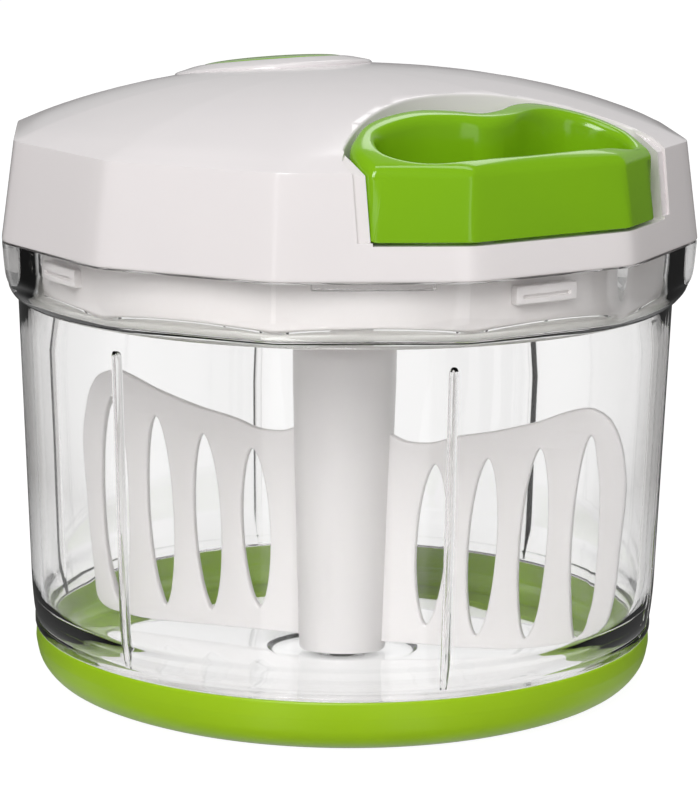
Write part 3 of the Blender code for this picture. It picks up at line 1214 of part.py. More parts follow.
def main():
    for thing in list(bpy.data.objects):
        bpy.data.objects.remove(thing)
    parts = bpy.data.collections.new(OBJECT_NAME)
    cutters = bpy.data.collections.new("cutters")
    for collection in (parts, cutters):
        bpy.context.scene.collection.children.link(collection)

    clear = finish("clear_san", (236, 238, 238), 0.04, alpha=0.3)
    silicone = finish("clear_silicone", (226, 226, 222), 0.35, alpha=0.6)
    white = finish("white_abs", (226, 223, 222), 0.18)
    milky = finish("milky_pp", (219, 217, 217), 0.35)
    green = finish("green_abs", (127, 178, 28), 0.15)
    soft_green = finish("green_tpe", (146, 190, 16), 0.35)
    steel = finish("bright_steel", (196, 196, 194), 0.25, metallic=1.0)
    brass = finish("brass", (190, 160, 90), 0.3, metallic=1.0)
    nylon = finish("natural_nylon", (232, 228, 214), 0.4)
    rubber = finish("black_rubber", (34, 34, 34), 0.6)
    cord = finish("braided_cord", (240, 240, 236), 0.7)

    filler_frame = bpy.data.objects.new("filler_frame", None)
    filler_frame.location = (0, FILLER_DISTANCE, dome_height(FILLER_DISTANCE))
    filler_frame.rotation_euler = (-FILLER_TILT, 0, 0)
    pull_frame = bpy.data.objects.new("pull_frame", None)
    pull_frame.location = (HANDLE_MIDDLE_X, -RECESS_BACK, CORD_HEIGHT)
    for frame in (filler_frame, pull_frame):
        parts.objects.link(frame)
    bpy.context.view_layer.update()

    make_bowl(parts, cutters, clear)
    make_base_ring(parts, soft_green)
    make_pin(parts, steel)
    make_gasket(parts, silicone)
    make_lid_shell(parts, cutters, white, filler_frame)
    make_lid_base(parts, cutters, white)
    make_bearings(parts, nylon, rubber)
    make_housing(parts, cutters, white)
    make_cover(parts, cutters, white)
    make_divider(parts, white)
    make_spring(parts, steel)
    make_hub(parts, cutters, white)
    make_spool(parts, cutters, white)
    make_winding(parts, cord)
    make_washer(parts, steel)
    screw_body("spool_screw", (0, 0), WASHER_HIGH + CLEARANCE, True, SPOOL_SCREW_LENGTH, parts, steel)
    for index, place in enumerate(screw_places()):
        head = SKIRT_BOTTOM + SCREW_HEAD_HEIGHT + CLEARANCE
        screw_body(f"lid_screw_{index + 1}", place, head, False, LID_SCREW_LENGTH, parts, steel)
    for index, place in enumerate(ear_places()):
        reach = COVER_HIGH - PLATE_TOP - EMBED - CLEARANCE
        screw_body(f"housing_screw_{index + 1}", place, COVER_HIGH + CLEARANCE, True, reach, parts, steel)
    make_cord_lead(parts, cord)
    make_eyelet(parts, brass)
    handle = make_handle(parts, cutters, green)
    knot = make_knot(parts, cord)
    bpy.context.view_layer.update()
    for piece in (handle, knot):
        keep_place(piece, pull_frame)
    make_cord_run(parts, cord)
    make_paddle(parts, cutters, milky)
    make_foot_bush(parts, nylon)
    make_filler_cap(parts, green, silicone, filler_frame)
    bpy.context.view_layer.update()


main()
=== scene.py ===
import json
import math

import bmesh
import bpy
from mathutils import Matrix, Vector

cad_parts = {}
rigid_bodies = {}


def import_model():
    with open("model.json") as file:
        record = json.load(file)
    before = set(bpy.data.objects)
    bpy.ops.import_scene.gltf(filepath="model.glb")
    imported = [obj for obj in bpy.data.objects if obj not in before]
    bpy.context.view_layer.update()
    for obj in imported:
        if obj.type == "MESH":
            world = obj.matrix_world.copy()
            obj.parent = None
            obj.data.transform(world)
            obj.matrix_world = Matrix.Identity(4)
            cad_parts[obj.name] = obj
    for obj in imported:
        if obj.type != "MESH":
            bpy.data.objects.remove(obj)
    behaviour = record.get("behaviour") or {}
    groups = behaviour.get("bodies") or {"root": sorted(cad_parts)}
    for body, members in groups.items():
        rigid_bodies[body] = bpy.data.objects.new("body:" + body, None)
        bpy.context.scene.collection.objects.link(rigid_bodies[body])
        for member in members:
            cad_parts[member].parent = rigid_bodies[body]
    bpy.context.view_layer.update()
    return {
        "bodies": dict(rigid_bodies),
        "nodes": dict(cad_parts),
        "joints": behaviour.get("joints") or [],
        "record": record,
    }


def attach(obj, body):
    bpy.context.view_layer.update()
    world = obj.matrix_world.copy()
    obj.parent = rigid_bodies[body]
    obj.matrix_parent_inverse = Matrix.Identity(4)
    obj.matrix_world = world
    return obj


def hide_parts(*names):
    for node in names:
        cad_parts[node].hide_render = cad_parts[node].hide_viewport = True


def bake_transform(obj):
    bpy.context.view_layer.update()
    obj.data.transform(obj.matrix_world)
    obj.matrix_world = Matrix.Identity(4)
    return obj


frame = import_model()
nodes = frame["nodes"]
print("frame loaded:", len(nodes), "nodes")


# Small helpers for colour, nodes and meshes

def colour(hexText):  # sRGB hex to the linear values that the nodes want
    channels = [int(hexText[k:k + 2], 16) / 255 for k in (1, 3, 5)]
    return [c / 12.92 if c <= 0.04045 else ((c + 0.055) / 1.055) ** 2.4 for c in channels] + [1.0]


def addNode(tree, kind, settings=None, links=None):
    # One shader node with its settings, and what feeds it: sockets, or plain numbers
    node = tree.nodes.new("ShaderNode" + kind)
    for name, value in (settings or {}).items():
        if isinstance(name, str) and hasattr(node, name):
            setattr(node, name, value)
        else:
            node.inputs[name].default_value = value
    for name, source in (links or {}).items():
        if isinstance(source, (int, float)):
            node.inputs[name].default_value = source
        else:
            tree.links.new(source, node.inputs[name])
    return node


def place(radius, azimuth, height):  # azimuth 0 is the pull direction, -Y, and it turns towards +X
    return Vector((radius * math.sin(azimuth), -radius * math.cos(azimuth), height))


def addPiece(name, bm):
    bmesh.ops.recalc_face_normals(bm, faces=bm.faces)
    mesh = bpy.data.meshes.new(name)
    bm.to_mesh(mesh)
    bm.free()
    piece = bpy.data.objects.new(name, mesh)
    bpy.context.scene.collection.objects.link(piece)
    return piece


def finishPiece(piece, material, body, slotName, *stoodFor, sharp=32):
    # Gives the piece its finish and its body, and hides the CAD nodes that it stands for
    piece.data.materials.clear()
    piece.data.materials.append(material)
    piece.data.shade_smooth()
    piece.data.set_sharp_from_angle(angle=math.radians(sharp))
    if body:
        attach(piece, body)
    if stoodFor:
        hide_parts(*stoodFor)
    return piece


def solvedMesh(piece):  # its mesh with the modifier or the curve worked out
    bpy.context.view_layer.update()
    return bpy.data.meshes.new_from_object(piece.evaluated_get(bpy.context.evaluated_depsgraph_get()))


def carve(piece, tool, operation="DIFFERENCE"):
    # Cuts a tool, or a list of separate ones, out of the piece or joins it on, and keeps the resulting mesh
    if isinstance(tool, list):
        bm = bmesh.new()
        for part in tool:
            bm.from_mesh(part.data)
            bpy.data.objects.remove(part)
        tool = addPiece("tool", bm)
    change = piece.modifiers.new("carve", "BOOLEAN")
    change.operation = operation
    change.solver = "EXACT"
    change.object = tool
    made = solvedMesh(piece)
    piece.modifiers.clear()
    piece.data = made
    bpy.data.objects.remove(tool)


def rounded(points, steps=4, closed=True):
    # Turns each corner into a curve. A point is its coordinates and then the size of its rounding
    made = []
    count = len(points)
    for k, point in enumerate(points):
        here, size = Vector(point[:-1]), point[-1]
        if size == 0 or (not closed and k in (0, count - 1)):
            made.append(tuple(here))
            continue
        before = Vector(points[k - 1][:-1]) - here
        after = Vector(points[(k + 1) % count][:-1]) - here
        start = here + before.normalized() * min(size, before.length * 0.49)
        end = here + after.normalized() * min(size, after.length * 0.49)
        for step in range(steps + 1):
            t = step / steps
            made.append(tuple(start * (1 - t) ** 2 + here * 2 * t * (1 - t) + end * t ** 2))
    return made


def smoothRun(points, perSpan):  # an open smooth curve through the points
    ends = [points[0]] + list(points) + [points[-1]]
    made = []
    for before, start, end, after in zip(ends, ends[1:], ends[2:], ends[3:]):
        before, start, end, after = (Vector(p) for p in (before, start, end, after))
        for step in range(perSpan):
            t = step / perSpan
            bend = start * 2 + (end - before) * t + (before * 2 - start * 5 + end * 4 - after) * t ** 2
            made.append(tuple((bend + (start * 3 - before - end * 3 + after) * t ** 3) / 2))
    return made + [tuple(points[-1])]


def smoothLoop(points, perSpan):  # a closed one
    wrapped = [points[-1]] + list(points) + [points[0], points[1]]
    return smoothRun(wrapped, perSpan)[perSpan:perSpan * (len(points) + 1)]


# The twelve-sided outline that lid and collar share

outline = {"sides": 12, "cornerSharpness": 130,
           "nearCorner": [0.0, 0.15, 0.35, 0.7, 1.5, 4.0, 8.0, 11.5]}  # degrees from a corner


def evenAzimuths(count):
    return [2 * math.pi * (k + 0.5) / count for k in range(count)]


def sideAzimuths():  # closer together at the corners, which have a small rounding
    made = []
    for side in range(outline["sides"]):
        corner = math.radians(15 + 30 * side)
        made += [corner + math.radians(d) for d in outline["nearCorner"]]
        made += [corner + math.radians(30 - d) for d in reversed(outline["nearCorner"]) if d > 0]
        made.append(corner + math.radians(15))
    return sorted(set(made))


def sidedRadius(azimuth, cornerRadius, flatShare):
    # Distance to the outline; its flats fade to a circle as the share falls to 0
    step = 2 * math.pi / outline["sides"]
    fromMiddle = (azimuth + step / 2) % step - step / 2
    power = outline["cornerSharpness"]
    apothem = cornerRadius * math.cos(step / 2)
    nearest = [(math.cos(fromMiddle + k * step) / math.cos(step / 2)) ** power for k in (-1, 0, 1)]
    flat = apothem / math.cos(step / 2) * sum(nearest) ** (-1 / power)
    return cornerRadius + flatShare * (flat - cornerRadius)


def skin(name, rows, closed=False):
    # A solid from rings of points. A ring of one point is a pole, and the end rings are capped unless closed
    bm = bmesh.new()
    rows = [[bm.verts.new(point) for point in row] for row in rows]
    count = max(len(row) for row in rows)
    for row, nextRow in zip(rows, rows[1:] + (rows[:1] if closed else [])):
        if len(row) == 1 and len(nextRow) == 1:
            continue
        for k in range(count):
            k2 = (k + 1) % count
            corners = [row[k % len(row)], row[k2 % len(row)]]
            corners += [nextRow[k2 % len(nextRow)], nextRow[k % len(nextRow)]]
            bm.faces.new(list(dict.fromkeys(corners)))
    if not closed:
        bm.faces.new(rows[0])
        bm.faces.new(rows[-1])
    return addPiece(name, bm)


def spun(name, profile, azimuths=None):
    # A closed solid round the axis. Profile points are radius, height and, for sided pieces, the flat share
    azimuths = azimuths or evenAzimuths(144)
    rows = []
    for radius, height, *share in profile:
        if radius < 1e-7:
            rows.append([(0, 0, height)])
        else:
            reach = [sidedRadius(a, radius, share[0]) if share else radius for a in azimuths]
            rows.append([place(r, a, height) for r, a in zip(reach, azimuths)])
    return skin(name, rows, closed=True)


def rod(name, radius, low, high, sides, at=(0, 0)):
    bm = bmesh.new()
    bmesh.ops.create_cone(bm, cap_ends=True, segments=sides, radius1=radius, radius2=radius,
                          depth=high - low, matrix=Matrix.Translation((*at, (low + high) / 2)))
    return addPiece(name, bm)


def plate(name, outlines, low, high, edge=0.0):
    # Flat outlines, holes among them, with thickness from low to high and a rounded edge
    curve = bpy.data.curves.new(name, "CURVE")
    curve.dimensions = "2D"
    curve.fill_mode = "BOTH"
    curve.extrude = (high - low) / 2 - edge
    curve.bevel_depth = edge
    curve.bevel_resolution = 2
    curve.offset = -edge
    for points in outlines:
        spline = curve.splines.new("POLY")
        spline.points.add(len(points) - 1)
        for point, (x, y) in zip(spline.points, points):
            point.co = (x, y, 0, 1)
        spline.use_cyclic_u = True
    shape = bpy.data.objects.new(name, curve)
    bpy.context.scene.collection.objects.link(shape)
    bm = bmesh.new()
    bm.from_mesh(solvedMesh(shape))
    bpy.data.objects.remove(shape)
    bmesh.ops.remove_doubles(bm, verts=bm.verts, dist=1e-6)
    bmesh.ops.translate(bm, verts=bm.verts, vec=(0, 0, (low + high) / 2))
    return addPiece(name, bm)


def tube(name, points, radius, sides):
    # A round bar along points, closed at both ends
    points = [Vector(p) for p in points]
    turns = [2 * math.pi * j / sides for j in range(sides)]
    rows = []
    side = None
    for k, point in enumerate(points):
        along = (points[min(k + 1, len(points) - 1)] - points[max(k - 1, 0)]).normalized()
        side = (along.orthogonal() if side is None else side - along * side.dot(along)).normalized()
        over = along.cross(side)
        rows.append([point + (side * math.cos(t) + over * math.sin(t)) * radius for t in turns])
    return skin(name, rows)


def arcBlock(name, inner, outer, low, high, azimuth, width, edge=0.0003):
    # A short bar bent round the axis, such as a lug
    steps = [azimuth + width / 2 / inner * k / 6 for k in range(-6, 7)]
    points = [place(outer, a, 0).xy for a in steps] + [place(inner, a, 0).xy for a in reversed(steps)]
    return plate(name, [points], low, high, edge)


def spotsRound(distance, degrees):  # x and y of places round the axis
    return [place(distance, math.radians(a), 0).xy for a in degrees]


# Finishes

def startFinish(name, settings, *noises, stretch=(1.0, 1.0, 1.0)):
    # A material with its shader set, where on the object it is, and noises by their size in mm and detail
    material = bpy.data.materials.new(name)
    material.use_nodes = True
    tree = material.node_tree
    for key, value in settings.items():
        tree.nodes["Principled BSDF"].inputs[key].default_value = value
    where = addNode(tree, "TexCoord").outputs["Object"]
    laid = {"Vector": addNode(tree, "Mapping", {"Scale": stretch}, {"Vector": where}).outputs["Vector"]}
    patterns = [addNode(tree, "TexNoise", {"Scale": 1000 / size, "Detail": detail}, laid).outputs["Fac"]
                for size, detail in noises]
    return material, where, patterns


def giveSurface(material, pattern, relief, strength, depth, colours=None, roughness=None):
    # Colour and gloss, where they vary, follow one pattern, and the fine relief follows another
    tree = material.node_tree
    bump = addNode(tree, "Bump", {"Strength": strength, "Distance": depth}, {"Height": relief})
    given = {"Normal": bump.outputs["Normal"]}
    if colours:
        ends = {6: colour(colours[0]), 7: colour(colours[1])}
        given["Base Color"] = addNode(tree, "Mix", {"data_type": "RGBA", **ends}, {0: pattern}).outputs[2]
    if roughness:
        ends = {"To Min": roughness[0], "To Max": roughness[1]}
        given["Roughness"] = addNode(tree, "MapRange", ends, {"Value": pattern}).outputs["Result"]
    for key, output in given.items():
        tree.links.new(output, tree.nodes["Principled BSDF"].inputs[key])


def mouldedPlastic(name, look):
    # Even colour with a faint cloud in it, a gloss that varies a little, and a fine orange peel
    material, _, (cloud, peel) = startFinish(name, {
        "IOR": look["ior"], "Subsurface Weight": look.get("subsurface", 0.0),
        "Subsurface Radius": (0.003, 0.003, 0.003), "Subsurface Scale": look.get("subsurfaceScale", 0.5),
        "Coat Weight": look.get("coat", 0.0), "Coat Roughness": 0.06},
        (look["cloudMm"], 3.0), (look["grainMm"], 2.0))
    rough, spread = look["roughness"], 0.03
    giveSurface(material, cloud, peel, look["grain"], 0.0001, (look["colour"], look["shade"]),
                (rough - spread, rough + spread))
    return material


def clearPlastic(name, look):
    # Clear plastic: even refraction, slight flow waves from the mould, and for some grey where it is edge on
    settings = {"Base Color": colour(look["colour"]), "IOR": look["ior"],
                "Transmission Weight": look["transmission"]}
    noises = (look["hazeMm"], 4.0), (look["waveMm"], 0.0)
    material, _, (haze, waves) = startFinish(name, settings, *noises)
    rough = look["roughness"]
    giveSurface(material, haze, waves, look["wave"], 0.0002, roughness=(rough, rough * 2))
    if "density" in look:
        tree = material.node_tree
        settings = {"Color": colour(look["edgeColour"]), "Density": look["density"]}
        grey = addNode(tree, "VolumeAbsorption", settings).outputs["Volume"]
        tree.links.new(grey, tree.nodes["Material Output"].inputs["Volume"])
    return material


def metal(name, look):
    # Turned or drawn metal: fine marks along the length break up the reflection
    material, _, (marks,) = startFinish(name, {"Base Color": colour(look["colour"]), "Metallic": 1.0},
                                        (look["markMm"], 3.0), stretch=look["markStretch"])
    rough = look["roughness"]
    giveSurface(material, marks, marks, 0.15, 0.00005, roughness=(rough, rough + 0.15))
    return material


def braidedCord(name, look):
    # Braided polyester: two sets of strands cross over each other, with a painted soft shadow between them
    material, where, _ = startFinish(name, {"Roughness": look["roughness"], "Sheen Weight": 0.3})
    tree = material.node_tree
    strands = {}
    for k, lean in enumerate((0.6, -0.6)):
        leaned = addNode(tree, "Mapping", {"Rotation": (0.0, lean, lean)}, {"Vector": where})
        settings = {"Scale": 1000 / look["strandMm"] / 6.28, "Distortion": 0.6}
        wave = addNode(tree, "TexWave", settings, {"Vector": leaned.outputs["Vector"]})
        strands[k] = wave.outputs["Fac"]
    weaveAndPaintedShadow = addNode(tree, "Math", {"operation": "MAXIMUM"}, strands).outputs["Value"]
    # Painted shadow: the colour darkens to the shade colour between the strands, and the same weave also
    # gives the real relief
    giveSurface(material, weaveAndPaintedShadow, weaveAndPaintedShadow, 0.6, 0.0002, (look["shade"], look["colour"]))
    return material


# High gloss ABS from a polished mould: a clean white with soft mirror lights along its edges
whiteAbs = mouldedPlastic("polished white ABS", {
    "colour": "#efeaea", "shade": "#ece7e8", "cloudMm": 25, "roughness": 0.16, "grainMm": 1.6, "grain": 0.02,
    "ior": 1.53, "subsurface": 0.06, "coat": 0.1})
# The same plastic inside the lid, straight from a plainer mould
innerAbs = mouldedPlastic("plain white ABS", {
    "colour": "#e9e5e4", "shade": "#e4e0df", "cloudMm": 14, "roughness": 0.36, "grainMm": 0.7, "grain": 0.08,
    "ior": 1.53, "subsurface": 0.05})
# Dyed gloss ABS for the handle and the filler cap: deep spring green with a wet-looking rim
greenAbs = mouldedPlastic("polished green ABS", {
    "colour": "#84bb14", "shade": "#7fb516", "cloudMm": 20, "roughness": 0.14, "grainMm": 1.4, "grain": 0.02,
    "ior": 1.53, "coat": 0.15})
# Soft rubbery TPE of the foot ring: lighter and yellower, with a satin, slightly grainy skin
greenTpe = mouldedPlastic("satin green TPE", {
    "colour": "#a6d008", "shade": "#9dc80a", "cloudMm": 16, "roughness": 0.34, "grainMm": 0.6, "grain": 0.10,
    "ior": 1.5, "subsurface": 0.08})
# Natural polypropylene of the paddle: milky, waxy and softly see-through at its thin edges
milkyPp = mouldedPlastic("moulded milky polypropylene", {
    "colour": "#e8e5e5", "shade": "#e2dfdf", "cloudMm": 18, "roughness": 0.34, "grainMm": 0.9, "grain": 0.06,
    "ior": 1.49, "subsurface": 0.35, "subsurfaceScale": 1.0})
# Unfilled nylon of the bushes: warm, dull white
naturalNylon = mouldedPlastic("machined natural nylon", {
    "colour": "#e8e4d6", "shade": "#dfdac9", "cloudMm": 8, "roughness": 0.45, "grainMm": 0.4, "grain": 0.12,
    "ior": 1.53, "subsurface": 0.2})
# Nitrile rubber of the shaft seal: matt black
blackRubber = mouldedPlastic("moulded nitrile rubber", {
    "colour": "#242424", "shade": "#1d1d1d", "cloudMm": 6, "roughness": 0.6, "grainMm": 0.3, "grain": 0.2,
    "ior": 1.5})
# Clear SAN of the bowl: crisp, neutral, with dark edges where the light runs along the wall
clearSan = clearPlastic("moulded clear SAN", {
    "colour": "#ffffff", "ior": 1.57, "roughness": 0.012, "transmission": 1.0, "hazeMm": 30, "waveMm": 14,
    "wave": 0.05, "edgeColour": "#a8a5a4", "density": 34.0})
# Clear silicone of the seals: softer, milky and a little rough
clearSilicone = clearPlastic("moulded clear silicone", {
    "colour": "#f4f3ee", "ior": 1.42, "roughness": 0.22, "transmission": 0.75, "hazeMm": 5, "waveMm": 4,
    "wave": 0.08})
# Zinc-bright steel of pin, screws, washer and spring
brightSteel = metal("bright drawn steel", {
    "colour": "#c9c8c6", "roughness": 0.18, "markMm": 0.5, "markStretch": (1.0, 1.0, 8.0)})
# Pressed brass of the cord eyelet: warm and polished by the cord
pressedBrass = metal("pressed brass", {
    "colour": "#c8a65a", "roughness": 0.16, "markMm": 0.4, "markStretch": (1.0, 6.0, 1.0)})
# White braided polyester of the pull cord; its shade colour is the painted shadow between the strands
whiteCord = braidedCord("braided polyester cord", {
    "colour": "#f3f2ee", "shade": "#b8b6b0", "strandMm": 0.5, "roughness": 0.7})
print("finishes made")


# Camera where the photograph was taken from: 34.5 degrees left of the pull direction, looking a little down

view = {"at": (-0.4159, -0.6075, 0.2158), "azimuth": math.radians(-34.5), "down": 0.2015, "roll": 0.0095,
        "lens": 141.6}
camera = bpy.data.objects.new("camera", bpy.data.cameras.new("camera"))
bpy.context.scene.collection.objects.link(camera)
camera.data.lens = view["lens"]
camera.data.sensor_width = 36
camera.data.clip_start, camera.data.clip_end = 0.01, 50
turned = Matrix.Rotation(view["azimuth"], 4, "Z") @ Matrix.Rotation(math.pi / 2 - view["down"], 4, "X")
camera.matrix_world = Matrix.Translation(view["at"]) @ turned @ Matrix.Rotation(view["roll"], 4, "Z")
bpy.context.scene.camera = camera


# Studio: pale floor, white surround, a large soft light beside the camera, one overhead and a weak one behind

studio = {
    "floorSize": 6.0, "floorColour": "#dcdad8", "floorWhite": 0.75, "floorStrength": 1.27, "ambient": 0.37,
    "forward": (0.566, 0.824, 0.0), "right": (0.824, -0.566, 0.0),  # the way the camera looks, on the level
    # Through clear parts it is white ahead, behind, at the sides and near the object, and darker between
    "sideWhite": 0.26, "sideFade": (0.35, 0.80), "nearFade": (0.12, 0.30),
    # Mirror reflections show a dark room with two strips behind the camera and two paler parts ahead of it
    "gloss": 0.07, "stripGloss": 1.0, "stripAside": 0.37, "stripEdge": (0.08, 0.12),
    "stripFade": (-0.6, -0.45), "stripLevel": (0.25, 0.40), "aheadGloss": 0.40, "aheadFade": (0.15, 0.60),
    "aheadLevel": (-0.02, 0.12), "lowGloss": 0.55, "lowFade": (0.0, 0.4), "lowLevel": (-0.50, -0.26),
    "lights": [("key light", 14.6, 0.75, -46, 28, 1.7), ("top light", 4.2, 0.7, -20, 78, 1.5),
               ("rim light", 2.4, 0.6, 130, 48, 1.7)]}


def addSoftLight(name, power, size, azimuth, elevation, distance):
    light = bpy.data.lights.new(name, "AREA")
    light.shape = "SQUARE"
    light.size = size
    light.energy = power
    lamp = bpy.data.objects.new(name, light)
    bpy.context.scene.collection.objects.link(lamp)
    target = Vector((0, 0, 0.07))
    up = math.radians(elevation)
    lamp.location = target + place(distance * math.cos(up), math.radians(azimuth), distance * math.sin(up))
    lamp.rotation_euler = (target - lamp.location).to_track_quat("-Z", "Y").to_euler()


def addSums(tree, made, sums):
    # Each sum is its name, what it does and what it takes: names of earlier ones, or numbers. SMOOTHSTEP
    # takes a value, its start and end, and the two levels that it fades between
    for name, work, *takes in sums:
        faded = work == "SMOOTHSTEP"
        settings = {"interpolation_type" if faded else "operation": work}
        links = {k: made.get(taken, taken) for k, taken in enumerate(takes)}
        made[name] = addNode(tree, "MapRange" if faded else "Math", settings, links).outputs[0]


def directionSums(tree, where):
    # How far a direction points ahead and aside, and how white it is when it is seen through clear parts
    made = {}
    for name, axis in (("ahead", studio["forward"]), ("aside", studio["right"])):
        settings = {"operation": "DOT_PRODUCT", 1: axis}
        made[name] = addNode(tree, "VectorMath", settings, {0: where}).outputs["Value"]
    addSums(tree, made, [
        ("aheadSquare", "MULTIPLY", "ahead", "ahead"), ("asideSquare", "MULTIPLY", "aside", "aside"),
        ("apart", "SUBTRACT", "aheadSquare", "asideSquare"), ("apart", "ABSOLUTE", "apart"),
        ("clear", "SMOOTHSTEP", "apart", *studio["sideFade"], studio["sideWhite"], 1.0)])
    return made


def makeFloor():
    s = studio
    bm = bmesh.new()
    bmesh.ops.create_grid(bm, x_segments=1, y_segments=1, size=s["floorSize"] / 2)
    floor = addPiece("floor", bm)
    floor.location.z = -0.0002
    floor.visible_glossy = False
    settings = {"Base Color": colour(s["floorColour"]), "Roughness": 0.9, "Specular IOR Level": 0.0}
    material, where, _ = startFinish("pale matt floor", settings)
    tree = material.node_tree
    path = addNode(tree, "LightPath").outputs
    outward = addNode(tree, "VectorMath", {"operation": "NORMALIZE"}, {0: where}).outputs["Vector"]
    made = directionSums(tree, outward)
    made["distance"] = addNode(tree, "VectorMath", {"operation": "LENGTH"}, {0: where}).outputs["Value"]
    made["seen"], made["seenThrough"] = path["Is Camera Ray"], path["Is Transmission Ray"]
    addSums(tree, made, [
        ("near", "SMOOTHSTEP", "distance", *s["nearFade"], 1.0, 0.0), ("clear", "MAXIMUM", "clear", "near"),
        ("seenThrough", "MULTIPLY", "seenThrough", "clear"), ("seen", "MAXIMUM", "seen", "seenThrough"),
        ("white", "MULTIPLY", "seen", s["floorWhite"])])
    glow = addNode(tree, "Emission", {"Strength": s["floorStrength"]}).outputs["Emission"]
    matt = tree.nodes["Principled BSDF"].outputs["BSDF"]
    mix = addNode(tree, "MixShader", None, {0: made["white"], 1: matt, 2: glow})
    tree.links.new(mix.outputs["Shader"], tree.nodes["Material Output"].inputs["Surface"])
    floor.data.materials.append(material)


def makeSurround():
    # White where it is seen directly, as clear parts need it behind them, and dark with pale parts in mirrors
    s = studio
    world = bpy.data.worlds.new("white surround")
    bpy.context.scene.world = world
    world.use_nodes = True
    tree = world.node_tree
    path = addNode(tree, "LightPath").outputs
    where = addNode(tree, "TexCoord").outputs["Generated"]
    made = directionSums(tree, where)
    made["level"] = addNode(tree, "SeparateXYZ", None, {0: where}).outputs["Z"]
    addSums(tree, made, [
        ("side", "ABSOLUTE", "aside"), ("offStrip", "SUBTRACT", "side", s["stripAside"]),
        ("offStrip", "ABSOLUTE", "offStrip"),
        ("strip", "SMOOTHSTEP", "offStrip", *s["stripEdge"], s["stripGloss"], 0.0),
        ("stripAhead", "SMOOTHSTEP", "ahead", *s["stripFade"], 1.0, 0.0),
        ("stripLevel", "SMOOTHSTEP", "level", *s["stripLevel"], 1.0, 0.0),
        ("over", "SMOOTHSTEP", "ahead", *s["aheadFade"], 0.0, s["aheadGloss"]),
        ("overLevel", "SMOOTHSTEP", "level", *s["aheadLevel"], 0.0, 1.0),
        ("low", "SMOOTHSTEP", "ahead", *s["lowFade"], 0.0, s["lowGloss"]),
        ("lowLevel", "SMOOTHSTEP", "level", *s["lowLevel"], 1.0, 0.0),
        ("strip", "MULTIPLY", "strip", "stripAhead"), ("strip", "MULTIPLY", "strip", "stripLevel"),
        ("over", "MULTIPLY", "over", "overLevel"), ("low", "MULTIPLY", "low", "lowLevel"),
        ("gloss", "ADD", "over", "low"), ("gloss", "ADD", "strip", "gloss"),
        ("gloss", "ADD", "gloss", s["gloss"])])
    strength = s["ambient"]
    for ray, level in (("Glossy", made["gloss"]), ("Transmission", made["clear"]), ("Camera", 1.0)):
        links = {0: path[f"Is {ray} Ray"], 2: strength, 3: level}
        strength = addNode(tree, "Mix", None, links).outputs["Result"]
    tree.links.new(strength, tree.nodes["Background"].inputs["Strength"])
    tree.nodes["Background"].inputs["Color"].default_value = (1, 1, 1, 1)


makeFloor()
makeSurround()
for light in studio["lights"]:
    addSoftLight(*light)
bpy.context.scene.view_settings.view_transform = "Standard"
print("camera and studio made")


# Bowl

bowl = {
    "floorUnder": 0.0019, "floor": 0.0023, "flatRadius": 0.0660, "footRadius": 0.0722, "footRise": 0.0061,
    "neckRadius": 0.0726, "bandRadius": 0.0740, "neckLow": 0.0125, "neckHigh": 0.0145, "wallLow": 0.0225,
    "wallLowRadius": 0.0747, "wallHigh": 0.0920, "wallHighRadius": 0.0772, "wall": 0.0022,
    "wallRows": (0.034, 0.060, 0.084), "collarTop": 0.1067, "collarRadius": 0.0831, "bore": 0.0778,
    "shelf": 0.0940, "discRadius": 0.0173, "discDepth": 0.0008, "bossRadius": 0.0060, "bossHeight": 0.0066,
    "pinBore": 0.0033, "pinSeatDepth": 0.0068,
    "collarShares": [(0.0, 0.0, 0.0), (0.068, 0.254, 0.10), (0.190, 0.525, 0.35), (0.327, 0.695, 0.65),
                     (0.435, 0.830, 0.85), (0.612, 0.915, 0.95), (1.0, 1.0, 1.0)],
    "ribCount": 6, "ribFirst": math.radians(-16.2), "ribWide": 0.00105, "ribDeep": 0.0019, "ribTop": 0.0875,
    "ribFoot": [(0.0715, 0.0138), (0.0717, 0.0155), (0.0722, 0.0190)], "ribRows": (0.023, 0.036, 0.060),
    "ribEnd": [(0.00275, 1.0), (0.001625, 0.98), (0.0009375, 0.88), (0.0004375, 0.70), (0.000125, 0.45),
               (0.0, 0.12)],  # how far below the top, and how thick there
    "catchCount": 4, "catchTurn": math.radians(-30), "catchReach": 0.0028, "catchLow": 0.1050,
    "catchHigh": 0.1065, "catchWidth": 0.0260}


def wallRadius(height):
    rise = (height - bowl["wallLow"]) / (bowl["wallHigh"] - bowl["wallLow"])
    return bowl["wallLowRadius"] + (bowl["wallHighRadius"] - bowl["wallLowRadius"]) * rise


def footCorner(gap, inset, steps=10):
    # The rounded corner under the wall: its outside grown by a gap, or its inside at an inset
    reach = bowl["footRadius"] - bowl["flatRadius"] + gap - inset
    rise = bowl["footRise"] + gap - inset
    low = bowl["floorUnder"] - gap + inset
    turns = [math.pi / 2 * k / steps for k in range(steps + 1)]
    return [(bowl["flatRadius"] + reach * math.sin(t), low + rise * (1 - math.cos(t))) for t in turns]


def wallRun(inset):
    # The wall's line from the neck to the top, smooth through the waist
    b = bowl
    neck, low, row = b["neckRadius"], b["wallLowRadius"], b["wallRows"][0]
    waist = ((neck + low) / 2, (b["neckHigh"] + b["wallLow"]) / 2)
    points = [(neck, b["neckLow"]), (neck, b["neckHigh"]), waist, (low, b["wallLow"]), (wallRadius(row), row)]
    return smoothRun([(radius - inset, height) for radius, height in points], 5)


def makeRib(name, azimuth, route, thicknesses, sides=20):
    # An upright bar on the wall, deeper than it is wide, so that it shows dark sides round a bright core
    deep, wide = bowl["ribDeep"], bowl["ribWide"]
    turns = [2 * math.pi * k / sides for k in range(sides)]
    rows = [[place(radius + deep * size * math.cos(t), azimuth + wide * size * math.sin(t) / radius, height)
             for t in turns] for (radius, height), size in zip(route, thicknesses)]
    return skin(name, rows)


